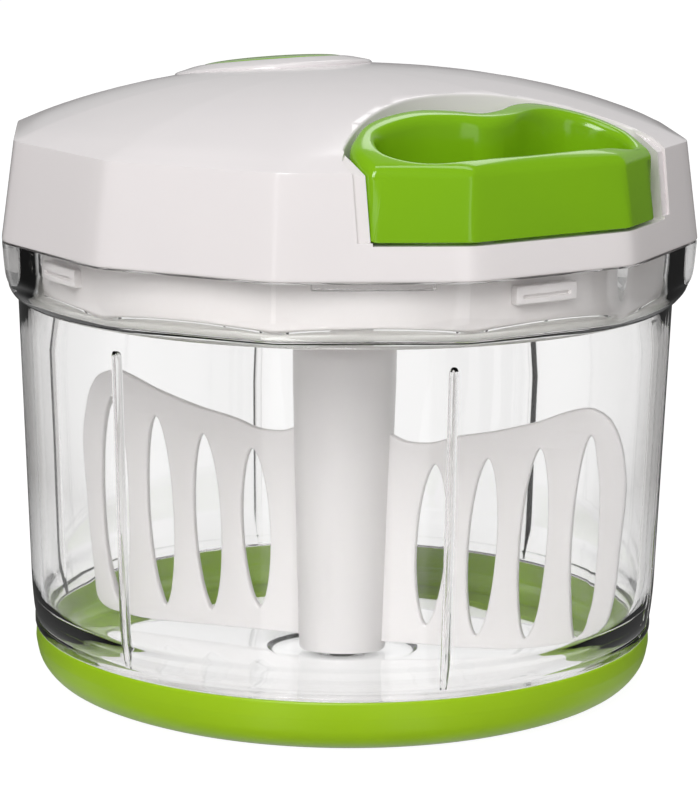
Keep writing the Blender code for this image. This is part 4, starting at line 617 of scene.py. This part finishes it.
def bandRun():
    # Outside of the wall's foot: a band that stands proud of the ring, a shallow groove, then the wall
    b = bowl
    band, high, row = b["bandRadius"], b["neckHigh"], b["wallRows"][0]
    points = [(*footCorner(0, 0)[-1], 0), (b["neckRadius"], b["neckLow"], 0),
              (band, b["neckLow"] + 0.0003, 0.0003), (band, high, 0.0005),
              (band - 0.0002, high + 0.0006, 0.0005), (band + 0.0001, high + 0.0018, 0.0008),
              ((band + b["wallLowRadius"]) / 2, (high + b["wallLow"]) / 2, 0.0015),
              (b["wallLowRadius"], b["wallLow"], 0.003), (wallRadius(row), row, 0)]
    return rounded(points, closed=False)[1:]


def makeBowl():
    b = bowl
    floorTop = b["floorUnder"] + b["floor"]
    discTop = floorTop - b["discDepth"]
    bossTop = discTop + b["bossHeight"]
    seat = bossTop - b["pinSeatDepth"]
    wall, shelf = b["wall"], b["shelf"]
    middle, high = b["wallRows"][1:]
    collar = [(b["wallHighRadius"] + (b["collarRadius"] - b["wallHighRadius"]) * growth,
               b["wallHigh"] + (b["collarTop"] - b["wallHigh"]) * rise, share)
              for rise, growth, share in b["collarShares"]]
    top = [(*collar[-2], 0), (*collar[-1], 0.0007), (b["bore"], b["collarTop"], 0, 0.0007),
           (b["bore"], shelf, 0, 0.0004), (wallRadius(shelf) - wall, shelf, 0, 0.0006),
           (wallRadius(high) - wall, high, 0, 0)]
    centre = [(b["flatRadius"] - 0.02, floorTop, 0), (b["discRadius"] + b["discDepth"], floorTop, 0.0004),
              (b["discRadius"], discTop, 0.0004), (b["bossRadius"], discTop, 0.0008),
              (b["bossRadius"], bossTop, 0.0005), (b["pinBore"], bossTop, 0.0003), (b["pinBore"], seat, 0),
              (0, seat, 0)]
    outside = [(0, b["floorUnder"])] + footCorner(0, 0) + bandRun()
    outside += [(wallRadius(z), z) for z in (middle, high)]
    inside = [(wallRadius(middle) - wall, middle)] + wallRun(wall)[::-1] + footCorner(0, b["floor"])[::-1]
    profile = [(*point, 0) for point in outside] + smoothRun(collar, 4)[:-1]
    profile += rounded(top, closed=False)[1:]
    profile += [(*point, 0) for point in inside + rounded(centre, closed=False)]
    piece = spun("bowl_clear", profile, sideAzimuths())

    heights = list(b["ribRows"]) + [b["ribTop"] - below for below, _ in b["ribEnd"]]
    route = b["ribFoot"] + [(wallRadius(height) - wall, height) for height in heights]
    thicknesses = [1.0] * (len(route) - len(b["ribEnd"])) + [thickness for _, thickness in b["ribEnd"]]
    carve(piece, [makeRib(f"rib{k}", b["ribFirst"] + 2 * math.pi * k / b["ribCount"], route, thicknesses)
                  for k in range(b["ribCount"])], "UNION")
    azimuths = [2 * math.pi * k / b["catchCount"] + b["catchTurn"] for k in range(b["catchCount"])]
    carve(piece, [arcBlock("catch", b["bore"] - b["catchReach"], b["bore"] + 0.0006, b["catchLow"],
                           b["catchHigh"], azimuth, b["catchWidth"]) for azimuth in azimuths], "UNION")
    finishPiece(piece, clearSan, "bowl", "clear_san", "bowl", sharp=40)
    piece.visible_shadow = False  # clear plastic lets the lamps through to the paddle


makeBowl()
print("bowl made")


# Foot ring

footRing = {"topRadius": 0.0736, "bellyRadius": 0.0738, "footRadius": 0.0665, "innerRadius": 0.0589,
            "gap": 0.0003, "sideShares": [(1.0, 1.0), (0.72, 1.0), (0.40, 0.87), (0.144, 0.52), (0.0, 0.0)]}


def makeFootRing():
    f = footRing
    inside, neck = footCorner(f["gap"], 0), bowl["neckLow"]
    side = [(f["footRadius"] + (f["bellyRadius"] - f["footRadius"]) * growth, neck * rise)
            for rise, growth in f["sideShares"]]
    top = [(*inside[-1], 0), (bowl["neckRadius"] + f["gap"], neck, 0.0003), (f["topRadius"], neck, 0.0006),
           (*side[1], 0)]
    under = [(*side[-1], 0), (f["innerRadius"], 0, 0.0005),
             (f["innerRadius"], bowl["floorUnder"] - f["gap"], 0.0003), (*inside[0], 0)]
    profile = rounded(top, closed=False)[1:-1] + smoothRun(side[1:], 5)
    piece = spun("foot_ring", profile + rounded(under, closed=False)[1:-1] + inside)
    finishPiece(piece, greenTpe, "bowl", "green_tpe", "base_ring")


makeFootRing()
print("foot ring made")


# Lid shell: a twelve-sided dome with the handle's recess, a shallow frame round it and the filler's plinth

lid = {"edge": 0.1070, "edgeRadius": 0.08325, "edgeRound": 0.0008, "wall": 0.0022, "shoulder": 0.1300,
       "shoulderRadius": 0.0801, "shoulderRound": 0.0034, "domeRise": 0.0146, "domePower": 2.41,
       "domeFlat": 0.33, "domeFade": 0.90,
       "domeShares": [0.94, 0.915, 0.89, 0.86, 0.82, 0.77, 0.71, 0.64, 0.56, 0.47, 0.37, 0.25, 0.12],
       "recessFloor": 0.1146, "recessHalf": 0.0400, "recessBack": 0.0385, "recessBow": 0.0186,
       "frameBand": 0.0028, "frameStep": 0.0007, "bossRadius": 0.0040, "bossLow": 0.1018, "bossBore": 0.0017,
       "bossBoreDepth": 0.018, "screwDistance": 0.0600, "eyeletBore": 0.0031}
filler = {"distance": 0.0320, "tilt": math.radians(8), "plinthRadius": 0.0240, "plinthRise": 0.0008,
          "plinthSlope": 0.0062, "plinthDrop": 0.0016, "plinthDepth": 0.0044, "cupRadius": 0.0160,
          "cupDepth": 0.0103, "hole": 0.0142, "capRadius": 0.0170, "seatDepth": 0.0033,
          "capThickness": 0.0020, "capRound": 0.0006, "capCrown": 0.0013, "plugDepth": 0.0050,
          "plugWall": 0.0016, "sealHeight": 0.0010, "gap": 0.0004}
chute = {"halfWide": 0.0075, "halfDeep": 0.00425, "middle": 0.03925, "squareness": 0.6, "wall": 0.0015}
handle = {"bottom": 0.1153, "middle": -0.0026, "halfWidth": 0.0371, "front": 0.0792, "depth": 0.0306,
          "rim": 0.0020, "rimDrop": 0.0026, "crown": 0.0010, "edge": 0.0005, "foldHeight": 0.123,
          "cordHeight": 0.1197, "knotRadius": 0.0026, "knotSeat": 0.0022, "cordBore": 0.0014,
          "back": [(1.000, 0.300), (0.973, 0.562), (0.879, 0.768), (0.690, 0.928), (0.534, 0.984),
                   (0.369, 0.954), (0.208, 0.869), (0.016, 0.840), (-0.167, 0.925), (-0.380, 1.000),
                   (-0.598, 0.987), (-0.763, 0.925), (-0.892, 0.807), (-0.973, 0.706), (-1.000, 0.560),
                   (-1.000, 0.450)],
          "hole": [(0.865, 0.370), (0.820, 0.270), (0.690, 0.215), (0.540, 0.195), (0.280, 0.190),
                   (0.016, 0.190), (-0.250, 0.185), (-0.415, 0.183), (-0.580, 0.235), (-0.715, 0.333),
                   (-0.805, 0.457), (-0.830, 0.562), (-0.785, 0.709), (-0.700, 0.790), (-0.525, 0.836),
                   (-0.360, 0.833), (-0.170, 0.765), (0.016, 0.680), (0.205, 0.706), (0.365, 0.784),
                   (0.530, 0.820), (0.665, 0.778), (0.785, 0.667), (0.860, 0.513)]}
handle["centre"] = (handle["middle"], handle["depth"] / 2 - handle["front"])
screwSpots = spotsRound(lid["screwDistance"], (120, 60, -120, -60))


def domeHeight(cornerRadius):
    out = (cornerRadius / lid["shoulderRadius"]) ** lid["domePower"]
    return lid["shoulder"] + lid["domeRise"] * (1 - out)


def domeFlatness(cornerRadius):
    nearEdge = (cornerRadius / lid["shoulderRadius"] - lid["domeFade"]) / (1 - lid["domeFade"])
    return lid["domeFlat"] + (1 - lid["domeFlat"]) * min(max(nearEdge, 0), 1)


def domeHeightAt(x, y):
    azimuth, distance = math.atan2(x, -y), math.hypot(x, y)
    cornerRadius = distance
    for _ in range(6):
        flatness = domeFlatness(min(cornerRadius, lid["shoulderRadius"]))
        cornerRadius = distance / sidedRadius(azimuth, 1, flatness)
    return domeHeight(min(cornerRadius, lid["shoulderRadius"]))


def lidSide(height):  # corner radius of the lid's side at a height
    down = (lid["shoulder"] - height) / (lid["shoulder"] - lid["edge"])
    return lid["shoulderRadius"] + (lid["edgeRadius"] - lid["shoulderRadius"]) * down


def lidForm(name, inset, low):
    corner = inset / math.cos(math.pi / outline["sides"])
    start = lid["edgeRound"] if inset == 0 else 0
    points = [(0, low, 1, 0), (lidSide(low) - corner, low, 1, start)]
    points += [(lid["shoulderRadius"] - corner, lid["shoulder"] - inset, 1, lid["shoulderRound"])]
    first = lid["shoulderRadius"] * lid["domeShares"][0]
    points += [(first - corner * lid["domeShares"][0], domeHeight(first) - inset, domeFlatness(first), 0)]
    profile = rounded(points, steps=5, closed=False)
    for share in lid["domeShares"][1:]:
        radius = lid["shoulderRadius"] * share
        profile.append((radius - corner * share, domeHeight(radius) - inset, domeFlatness(radius)))
    profile.append((0, domeHeight(0) - inset, 0))
    return spun(name, profile, sideAzimuths())


def recessOutline(half, back, corner=0.0015):
    # Plan of the recess: open at the front, its back bending forward to the sides
    front = -lid["edgeRadius"] - 0.002
    depth = lid["recessBow"] * (half / lid["recessHalf"]) ** 2
    points = [(-half, front, 0), (half, front, 0)]
    for k in range(41):
        across = 1 - k / 20
        points.append((half * across, -back - depth * across ** 2, corner if k in (0, 40) else 0))
    return rounded(points)


def fillerTool(name, profile, azimuths=None):
    # A turned piece stood on the filler's tilted axis
    piece = spun(name, profile, azimuths)
    tilted = Matrix.Translation((0, filler["distance"], domeHeight(filler["distance"])))
    piece.data.transform(tilted @ Matrix.Rotation(-filler["tilt"], 4, "X"))
    return piece


def recessTool(name, half, back, low):
    # The recess as a tool that flares just under the dome, so that the rim is rounded
    points = [Vector(p) for p in recessOutline(half, back)]
    flare = [(0.0, 0.0006), (0.00008, 0.00030), (0.00022, 0.00012), (0.00045, 0.00002), (0.0008, -0.0020)]
    rows = [[(*point, low) for point in points]]
    for out, below in flare:
        row = []
        for k, point in enumerate(points):
            along = (points[(k + 1) % len(points)] - points[k - 1]).normalized()
            atFront = point.y < -lid["edgeRadius"]
            spot = point if atFront else point + Vector((along.y, -along.x)) * out
            row.append((*spot, 0.150 if below < 0 else domeHeightAt(*spot) - below))
        rows.append(row)
    return skin(name, rows)


def chuteOutline(wall):
    c = chute
    made = []
    for k in range(48):
        turn = 2 * math.pi * k / 48
        circle = (math.cos(turn), math.sin(turn))
        across, along = (math.copysign(abs(v) ** c["squareness"], v) for v in circle)
        made.append(((c["halfWide"] + wall) * across, c["middle"] + (c["halfDeep"] + wall) * along))
    return made


def layAlongCord(piece):
    # From upright to the pull line: up goes towards the axis of the bowl
    piece.data.transform(Matrix.Rotation(-math.pi / 2, 4, "X"))
    piece.data.transform(Matrix.Translation((handle["middle"], 0, handle["cordHeight"])))
    return piece


def makeLidShell():
    f = filler
    back, wall, floor = lid["recessBack"], lid["wall"], lid["recessFloor"]
    shell = lidForm("lid_shell_white", 0, lid["edge"])
    cavity = lidForm("cavity", wall, lid["edge"] - 0.002)
    pocket = recessOutline(lid["recessHalf"] + wall, back - wall)
    carve(cavity, plate("pocket", [pocket], floor - wall, 0.150))
    carve(shell, cavity)

    low, top = lid["bossLow"], domeHeight(lid["screwDistance"] + lid["bossRadius"]) - 0.0003
    carve(shell, [rod("boss", lid["bossRadius"], low, top, 32, s) for s in screwSpots], "UNION")
    carve(shell, [rod("bore", lid["bossBore"], low - 0.002, low + lid["bossBoreDepth"], 20, s)
                  for s in screwSpots])

    plinth = [(0, f["plinthRise"], 0), (f["plinthRadius"] - f["plinthSlope"], f["plinthRise"], 0.0022),
              (f["plinthRadius"], f["plinthRise"] - f["plinthDrop"], 0.0009),
              (f["plinthRadius"], -f["plinthDepth"], 0), (f["cupRadius"], -f["plinthDepth"], 0),
              (f["cupRadius"], -f["cupDepth"], 0), (0, -f["cupDepth"], 0)]
    carve(shell, fillerTool("plinth", rounded(plinth, steps=6, closed=False), evenAzimuths(120)), "UNION")

    carve(shell, recessTool("recess", lid["recessHalf"], back, floor))
    frame = recessOutline(lid["recessHalf"] + lid["frameBand"], back + 0.0006, 0.003)
    band = plate("band", [frame], floor + lid["frameStep"], 0.150)
    carve(band, lidForm("frameDepth", lid["frameStep"], lid["edge"] - 0.002))
    carve(shell, band)

    seat, bottom, cap = f["plinthRise"] - f["seatDepth"], wall - f["cupDepth"], f["capRadius"] + f["gap"]
    hole = [(0, f["plinthRise"] + 0.002, 0), (cap + 0.0006, f["plinthRise"] + 0.002, 0),
            (cap + 0.0003, f["plinthRise"], 0), (cap, f["plinthRise"] - 0.0004, 0), (cap, seat, 0),
            (f["hole"] + 0.0003, seat, 0), (f["hole"], seat - 0.0003, 0), (f["hole"], bottom, 0.0012),
            (0, bottom, 0)]
    carve(shell, fillerTool("fillerHole", rounded(hole, closed=False), evenAzimuths(120)))
    cupMiddle = domeHeight(f["distance"]) - f["cupDepth"]
    carve(shell, plate("chuteMouth", [chuteOutline(0)], cupMiddle - 0.002, cupMiddle + 2 * wall))
    carve(shell, layAlongCord(rod("eyeletHole", lid["eyeletBore"], -back - 0.002, wall + 0.002 - back, 32)))
    finishPiece(shell, whiteAbs, "lid", "white_abs", "lid_shell", sharp=28)


makeLidShell()
print("lid shell made")


# Filler cap

def makeFillerCap():
    f = filler
    low = f["plinthRise"] - f["seatDepth"] + 0.0003 + f["sealHeight"] + 0.0003
    high = low + f["capThickness"]
    plug, tip = f["hole"] - f["gap"], low - f["plugDepth"]
    turns = [math.radians(6 * k) for k in range(15)]
    radius, rim = f["capRadius"], high - f["capRound"]
    crown = [(radius * math.sin(t), rim + f["capCrown"] * math.cos(t)) for t in turns]
    points = [(*crown[-1], 0), (radius, crown[-1][1] - 0.0001, 0.0002), (radius, low, 0.0003), (plug, low, 0),
              (plug, tip, 0.0005), (plug - f["plugWall"], tip, 0.0005), (plug - f["plugWall"], low, 0),
              (0, low, 0)]
    cap = fillerTool("filler_cap_green", crown + rounded(points, closed=False)[1:])
    finishPiece(cap, greenAbs, "filler", "green_abs", "filler_cap")


makeFillerCap()
print("filler cap made")


# Pull handle: its front is a piece of the lid's side, its back has two lobes round the finger hole

def handlePoint(shares):
    return (handle["middle"] + handle["halfWidth"] * shares[0], handle["depth"] * shares[1] - handle["front"])


def lidFront(x, height):
    # The lid's front face at a height: the flat in the middle, or the flat beside it
    apothem = lidSide(height) * math.cos(math.pi / 12)
    side = (apothem - abs(x) * math.sin(math.pi / 6)) / math.cos(math.pi / 6)
    return -min(apothem, side)


def handleOutline(height):
    left, right = handle["middle"] - handle["halfWidth"], handle["middle"] + handle["halfWidth"]
    fold = lidSide(height) * math.sin(math.pi / 12)
    front = [(x, lidFront(x, height), size) for x, size in
             ((left, 0.0009), (-fold, 0.0006), (fold, 0.0006), (right, 0.0009))]
    back = smoothRun([handlePoint(shares) for shares in handle["back"]], 10)
    return rounded(front + [(*point, 0) for point in back], steps=5)


def reachOf(points, direction):
    centre = Vector(handle["centre"])
    best = 0
    for start, end in zip(points, points[1:] + points[:1]):
        first = Vector(start) - centre
        along = Vector(end) - Vector(start)
        cross = direction.x * along.y - direction.y * along.x
        if abs(cross) < 1e-12:
            continue
        distance = (first.x * along.y - first.y * along.x) / cross
        share = (first.x * direction.y - first.y * direction.x) / cross
        if -1e-9 <= share <= 1 + 1e-9 and distance > best:
            best = distance
    return best


def fingerHole():
    return smoothLoop([handlePoint(shares) for shares in handle["hole"]], 8)


def knotFace():
    return handle["centre"][1] + reachOf(fingerHole(), Vector((0, 1)))


def topHeight(spot):  # the handle's top stands a little proud of the dome
    return domeHeightAt(*spot) + handle["crown"]


def makeHandle():
    h = handle
    centre, bottom, edge, folds = Vector(h["centre"]), h["bottom"], h["edge"], h["foldHeight"]
    angles = [2 * math.pi * k / 200 for k in range(200)]
    fold = lidSide(folds) * math.sin(math.pi / 12)
    for x in (h["middle"] - h["halfWidth"], -fold, fold, h["middle"] + h["halfWidth"]):
        corner = math.atan2(lidFront(x, folds) - centre.y, x - centre.x)
        near = (-1.4, -1.0, -0.65, -0.3, 0.0, 0.3, 0.65, 1.0, 1.4)
        angles += [(corner + math.radians(d)) % (2 * math.pi) for d in near]
    outlines = [fingerHole(), handleOutline(bottom), handleOutline(lid["shoulder"] - h["rimDrop"])]
    rounds = [math.radians(12.86 * k) for k in range(8)]
    rows = []
    for angle in sorted(angles):
        direction = Vector((math.cos(angle), math.sin(angle)))
        inner, lowOuter, highOuter = (reachOf(points, direction) for points in outlines)
        row = [(inner, bottom + edge), (inner + edge, bottom), (lowOuter - edge, bottom),
               (lowOuter - edge * 0.3, bottom + edge * 0.3), (lowOuter - 0.00001, bottom + edge)]
        rims = [(highOuter - h["rim"] * (1 - math.cos(turn)), turn) for turn in rounds]
        rims += [(inner + h["rim"] * (1 - math.cos(turn)), turn) for turn in reversed(rounds)]
        row += [(distance, topHeight(centre + direction * distance) - h["rimDrop"] * (1 - math.sin(turn)))
                for distance, turn in rims]
        rows.append([(*(centre + direction * distance), height) for distance, height in row])
    piece = skin("pull_handle_green", rows, closed=True)
    face = knotFace()
    for tool in (rod("seat", h["knotRadius"] + 0.0004, face - h["knotSeat"] * 2, face + h["knotSeat"], 32),
                 rod("bore", h["cordBore"], face - h["cordBore"], h["depth"] - h["front"], 24)):
        carve(piece, layAlongCord(tool))
    finishPiece(piece, greenAbs, "handle", "green_abs", "pull_handle", sharp=34)


makeHandle()
print("handle made")


# Cord parts that show when the handle is out: knot, eyelet and the run between them

cord = {"radius": 0.0010, "mouth": 0.0012 + 0.0003 + lid["wall"] - lid["recessBack"], "knotStrand": 0.00085,
        "knotWidth": 0.00055, "knotDepth": 0.0009}
eyelet = {"bore": 0.0014, "barrel": 0.0028, "flange": 0.0040, "flangeDepth": 0.0012}


def makeCordParts():
    h = handle
    face = knotFace()
    middle = Vector((h["middle"], face + h["knotSeat"] - 0.0003 - h["knotRadius"], h["cordHeight"]))
    wide, deep = cord["knotWidth"], cord["knotDepth"]
    turns = [2 * math.pi * k / 72 for k in range(72)]
    loop = [middle + Vector(((math.sin(t) + 2 * math.sin(2 * t)) * wide, math.sin(3 * t) * deep,
                             (math.cos(t) - 2 * math.cos(2 * t)) * wide)) for t in turns]
    knot = tube("cord_knot_tied", loop, cord["knotStrand"], 12)
    finishPiece(knot, whiteCord, "handle", "braided_cord", "cord_knot", sharp=60)

    back = cord["mouth"] - 0.0003
    start, end = ((h["middle"], y, h["cordHeight"]) for y in (back, face + h["knotSeat"]))
    route = [(h["middle"], back + (end[1] - back) * k / 60, h["cordHeight"]) for k in range(61)]
    run = tube("cord_run_braided", route, cord["radius"], 16)
    finishPiece(run, whiteCord, None, "braided_cord", "cord_run", sharp=60)
    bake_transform(run)

    e = eyelet
    bow = lid["recessBow"] * ((abs(h["middle"]) + e["flange"]) / lid["recessHalf"]) ** 2
    front = -lid["recessBack"] - bow - 0.0003
    lip = front - e["flangeDepth"]
    points = [(e["bore"], back, 0.0002), (e["barrel"], back, 0.0004), (e["barrel"], front, 0),
              (e["flange"], front, 0.0003), (e["flange"], lip, 0.0008), (e["bore"], lip, 0.0009)]
    piece = layAlongCord(spun("cord_eyelet_brass", rounded(points), evenAzimuths(48)))
    finishPiece(piece, pressedBrass, "lid", "brass", "cord_eyelet")


makeCordParts()
print("cord parts made")


# Inner lid with its skirt, lugs, chute and screw pockets

inner = {"skirtRadius": 0.0734, "bottom": 0.0960, "wall": 0.0022, "plateTop": 0.0982, "lipTop": 0.1086,
         "sleeveBore": 0.0093, "sleeveRadius": 0.0113, "sleeveTop": 0.1010, "lugCount": 4, "lugWidth": 0.0160,
         "lugReach": 0.0032, "lugLow": 0.1005, "lugHigh": 0.1047, "grooveLow": 0.1019, "grooveHigh": 0.1028,
         "grooveDepth": 0.0008, "chuteTop": 0.1301, "screwBoss": 0.0046, "screwBossTop": 0.1015,
         "housingBoss": 0.0040, "housingBossTop": 0.1042, "earDistance": 0.0346}
screw = {"head": 0.0030, "headHeight": 0.0018, "headTop": 0.0018, "shank": 0.0014, "bore": 0.0017,
         "length": 0.018, "slot": (0.0032, 0.0006, 0.0018)}


def makeInnerLid():
    i, s = inner, screw
    inside, skirt, under = i["skirtRadius"] - i["wall"], i["skirtRadius"], i["plateTop"] - 0.0006
    lip = lidSide(i["lipTop"]) * math.cos(math.pi / 12) - lid["wall"] - 0.0003
    points = [(inside, i["lipTop"], 0.0003), (lip, i["lipTop"], 0.0003), (lip, lid["edge"], 0.0003),
              (skirt, lid["edge"], 0.0003), (skirt, i["bottom"], 0.0012),
              (i["sleeveBore"], i["bottom"], 0.0004), (i["sleeveBore"], i["sleeveTop"], 0.0002),
              (i["sleeveRadius"], i["sleeveTop"], 0.0003), (i["sleeveRadius"], i["plateTop"], 0.0003),
              (inside, i["plateTop"], 0.0006)]
    piece = spun("lid_base_white", rounded(points))
    reach = skirt + i["lugReach"]
    azimuths = [2 * math.pi * k / i["lugCount"] for k in range(i["lugCount"])]
    ears = spotsRound(i["earDistance"], (45, 135, 225, 315))
    added = [arcBlock("lug", skirt - 0.0006, reach, i["lugLow"], i["lugHigh"], a, i["lugWidth"], 0.0005)
             for a in azimuths]
    added.append(plate("chute", [chuteOutline(chute["wall"])], under, i["chuteTop"]))
    added += [rod("screwBoss", i["screwBoss"], under, i["screwBossTop"], 32, spot) for spot in screwSpots]
    added += [rod("housingBoss", i["housingBoss"], under, i["housingBossTop"], 32, spot) for spot in ears]
    carve(piece, added, "UNION")
    carve(piece, [arcBlock("groove", reach - i["grooveDepth"], reach + 0.001, i["grooveLow"], i["grooveHigh"],
                           a, i["lugWidth"] - 0.0030, 0.0002) for a in azimuths])
    cuts = [plate("chuteBore", [chuteOutline(0)], i["bottom"] - 0.002, i["chuteTop"] + 0.002)]
    low, high, wide = i["bottom"] - 0.002, i["screwBossTop"] + 0.002, s["head"] + 0.0003
    headTop = i["bottom"] + s["headHeight"] + 0.0006
    for spot in screwSpots:
        points = [(0, low), (wide, low), (wide, headTop), (s["bore"], headTop), (s["bore"], high), (0, high)]
        pocket = spun("pocket", points, evenAzimuths(32))
        pocket.data.transform(Matrix.Translation((*spot, 0)))
        cuts.append(pocket)
    cuts += [rod("housingBore", s["bore"], i["plateTop"] + 0.0006, i["housingBossTop"] + 0.002, 20, spot)
             for spot in ears]
    carve(piece, cuts)
    finishPiece(piece, innerAbs, "lid", "white_abs", "lid_base")


def makeLidScrews():
    s = screw
    head = inner["bottom"] + s["headHeight"] + 0.0003
    low, tip = head - s["headHeight"], head + s["length"]
    points = [(0, low + 0.0001, 0), (s["headTop"], low + 0.0001, 0.0010), (s["head"], head - 0.0006, 0.0006),
              (s["head"], head, 0), (s["shank"], head, 0), (s["shank"], tip - s["shank"], 0), (0, tip, 0)]
    for k, spot in enumerate(screwSpots):
        piece = spun(f"lid_screw_{k + 1}_turned", rounded(points, closed=False), evenAzimuths(32))
        for turn in (0, math.pi / 2):
            cross = bmesh.new()
            bmesh.ops.create_cube(cross, size=1)
            cross.transform(Matrix.Rotation(turn, 4, "Z") @ Matrix.Diagonal((*s["slot"], 1)))
            cross.transform(Matrix.Translation((0, 0, low)))
            carve(piece, addPiece("cross", cross))
        piece.data.transform(Matrix.Translation((*spot, 0)))
        finishPiece(piece, brightSteel, "lid", "bright_steel", f"lid_screw_{k + 1}")


makeInnerLid()
makeLidScrews()
print("inner lid and its screws made")


# Drive shaft between spool and paddle, with six-sided ends

shaft = {"radius": 0.0068, "low": 0.0781, "high": 0.1131, "tip": 0.0056, "tipLow": 0.0644, "tipHigh": 0.0787,
         "head": 0.0064, "headLow": 0.1125, "headHigh": 0.1257, "pilot": 0.0017, "pilotLow": 0.1150}


def makeShaft():
    s = shaft
    points = [(0, s["high"], 0), (s["radius"], s["high"], 0.0003), (s["radius"], s["low"], 0.0005),
              (0, s["low"], 0)]
    piece = spun("drive_shaft", rounded(points, closed=False), evenAzimuths(96))
    carve(piece, [rod("tip", s["tip"], s["tipLow"], s["tipHigh"], 6),
                  rod("head", s["head"], s["headLow"], s["headHigh"], 6)], "UNION")
    carve(piece, rod("pilot", s["pilot"], s["pilotLow"], s["headHigh"] + 0.0023, 20))
    finishPiece(piece, innerAbs, "spool", "white_abs", "drive_hub")


makeShaft()
print("shaft made")


# Seal between bowl and lid

seal = {"outer": 0.0775, "inner": 0.0724, "low": 0.0943, "high": 0.0957}


def makeSeal():
    s = seal
    points = [(s["outer"], s["high"], 0.0005), (s["outer"], s["low"], 0.0004), (s["inner"], s["low"], 0.0004),
              (s["inner"], s["high"], 0.0005)]
    piece = spun("lid_seal_silicone", rounded(points))
    finishPiece(piece, clearSilicone, "seal", "clear_silicone", "lid_gasket")


makeSeal()
print("seal made")


# Paddle: a hollow column with two slotted wings, moulded in one piece

paddle = {"azimuth": math.radians(35.5), "foot": 0.0046, "footRadius": 0.0104, "topRadius": 0.0126,
          "top": 0.0778, "topRound": 0.0032, "cavity": 0.0084, "cavityStep": 0.0020, "stepHeight": 0.0246,
          "cavityTop": 0.0570, "socketLow": 0.0640, "socketRadius": 0.0060, "thickness": 0.0022,
          "edge": 0.0005, "reach": 0.0692, "height": 0.0683, "root": 0.0095,
          "wing": [(0.173, 0.855), (0.231, 0.833), (0.318, 0.835), (0.405, 0.864), (0.549, 0.896),
                   (0.694, 0.940), (0.780, 0.977), (0.853, 1.000), (0.903, 0.996), (0.947, 0.963),
                   (0.983, 0.878), (1.000, 0.761), (0.997, 0.659), (0.986, 0.542), (0.973, 0.395),
                   (0.951, 0.234), (0.932, 0.156), (0.892, 0.122), (0.824, 0.107), (0.723, 0.099),
                   (0.578, 0.101), (0.361, 0.106)],
          "slots": [((0.337, 0.761), (0.308, 0.189), 0.053), ((0.525, 0.798), (0.490, 0.165), 0.051),
                    ((0.708, 0.849), (0.668, 0.164), 0.048), ((0.882, 0.908), (0.853, 0.154), 0.048)]}


def makeWing(name, azimuth):
    p = paddle
    points = smoothRun([(p["reach"] * a, p["height"] * b) for a, b in p["wing"]], 6)
    points += [(p["root"], points[-1][1]), (p["root"], points[0][1])]
    outlines = [points]
    for top, bottom, halfWidth in p["slots"]:
        high = Vector((p["reach"] * top[0], p["height"] * top[1]))
        low = Vector((p["reach"] * bottom[0], p["height"] * bottom[1]))
        slot = []
        for side in (1, -1):
            for k in range(28):
                along = side * math.cos(math.pi * k / 28)
                width = side * p["reach"] * halfWidth * (1 - along ** 2) ** 0.6
                middle = (high + low) / 2 + (high - low) / 2 * along
                slot.append((middle.x + width, middle.y))
        outlines.append(slot)
    wing = plate(name, outlines, -p["thickness"] / 2, p["thickness"] / 2, p["edge"])
    wing.data.transform(Matrix.Rotation(azimuth - math.pi / 2, 4, "Z") @ Matrix.Rotation(math.pi / 2, 4, "X"))
    return wing


def makePaddle():
    p = paddle
    inside = p["cavity"] - p["cavityStep"]
    points = [(0, p["top"], 0), (p["topRadius"], p["top"], p["topRound"]),
              (p["footRadius"], p["foot"], 0.0004), (p["cavity"], p["foot"], 0.0004),
              (p["cavity"], p["stepHeight"], 0), (inside, p["stepHeight"], 0),
              (inside, p["cavityTop"], 0.0006), (0, p["cavityTop"], 0)]
    piece = spun("paddle_milky", rounded(points, closed=False), evenAzimuths(120))
    for name, azimuth in (("wingRight", p["azimuth"]), ("wingLeft", p["azimuth"] + math.pi)):
        carve(piece, makeWing(name, azimuth), "UNION")
    carve(piece, rod("socket", p["socketRadius"], p["socketLow"], p["top"] + 0.002, 6))
    finishPiece(piece, milkyPp, "paddle", "milky_pp", "paddle", sharp=40)


makePaddle()
print("paddle made")


# CAD nodes that stay as they are and only take their finish

kept = [(brightSteel, ["pivot_pin", "recoil_spring", "spool_washer", "spool_screw"]),
        (brightSteel, [f"housing_screw_{k}" for k in (1, 2, 3, 4)]),
        (innerAbs, ["spool_housing", "housing_cover", "spring_cover", "spool"]),
        (whiteCord, ["cord_lead", "cord_winding"]), (naturalNylon, ["hub_bush", "foot_bush"]),
        (blackRubber, ["shaft_seal"]), (clearSilicone, ["filler_seal"])]
for material, names in kept:
    for name in names:
        nodes[name].data.materials.clear()
        nodes[name].data.materials.append(material)
print("CAD nodes finished")

bpy.context.view_layer.update()
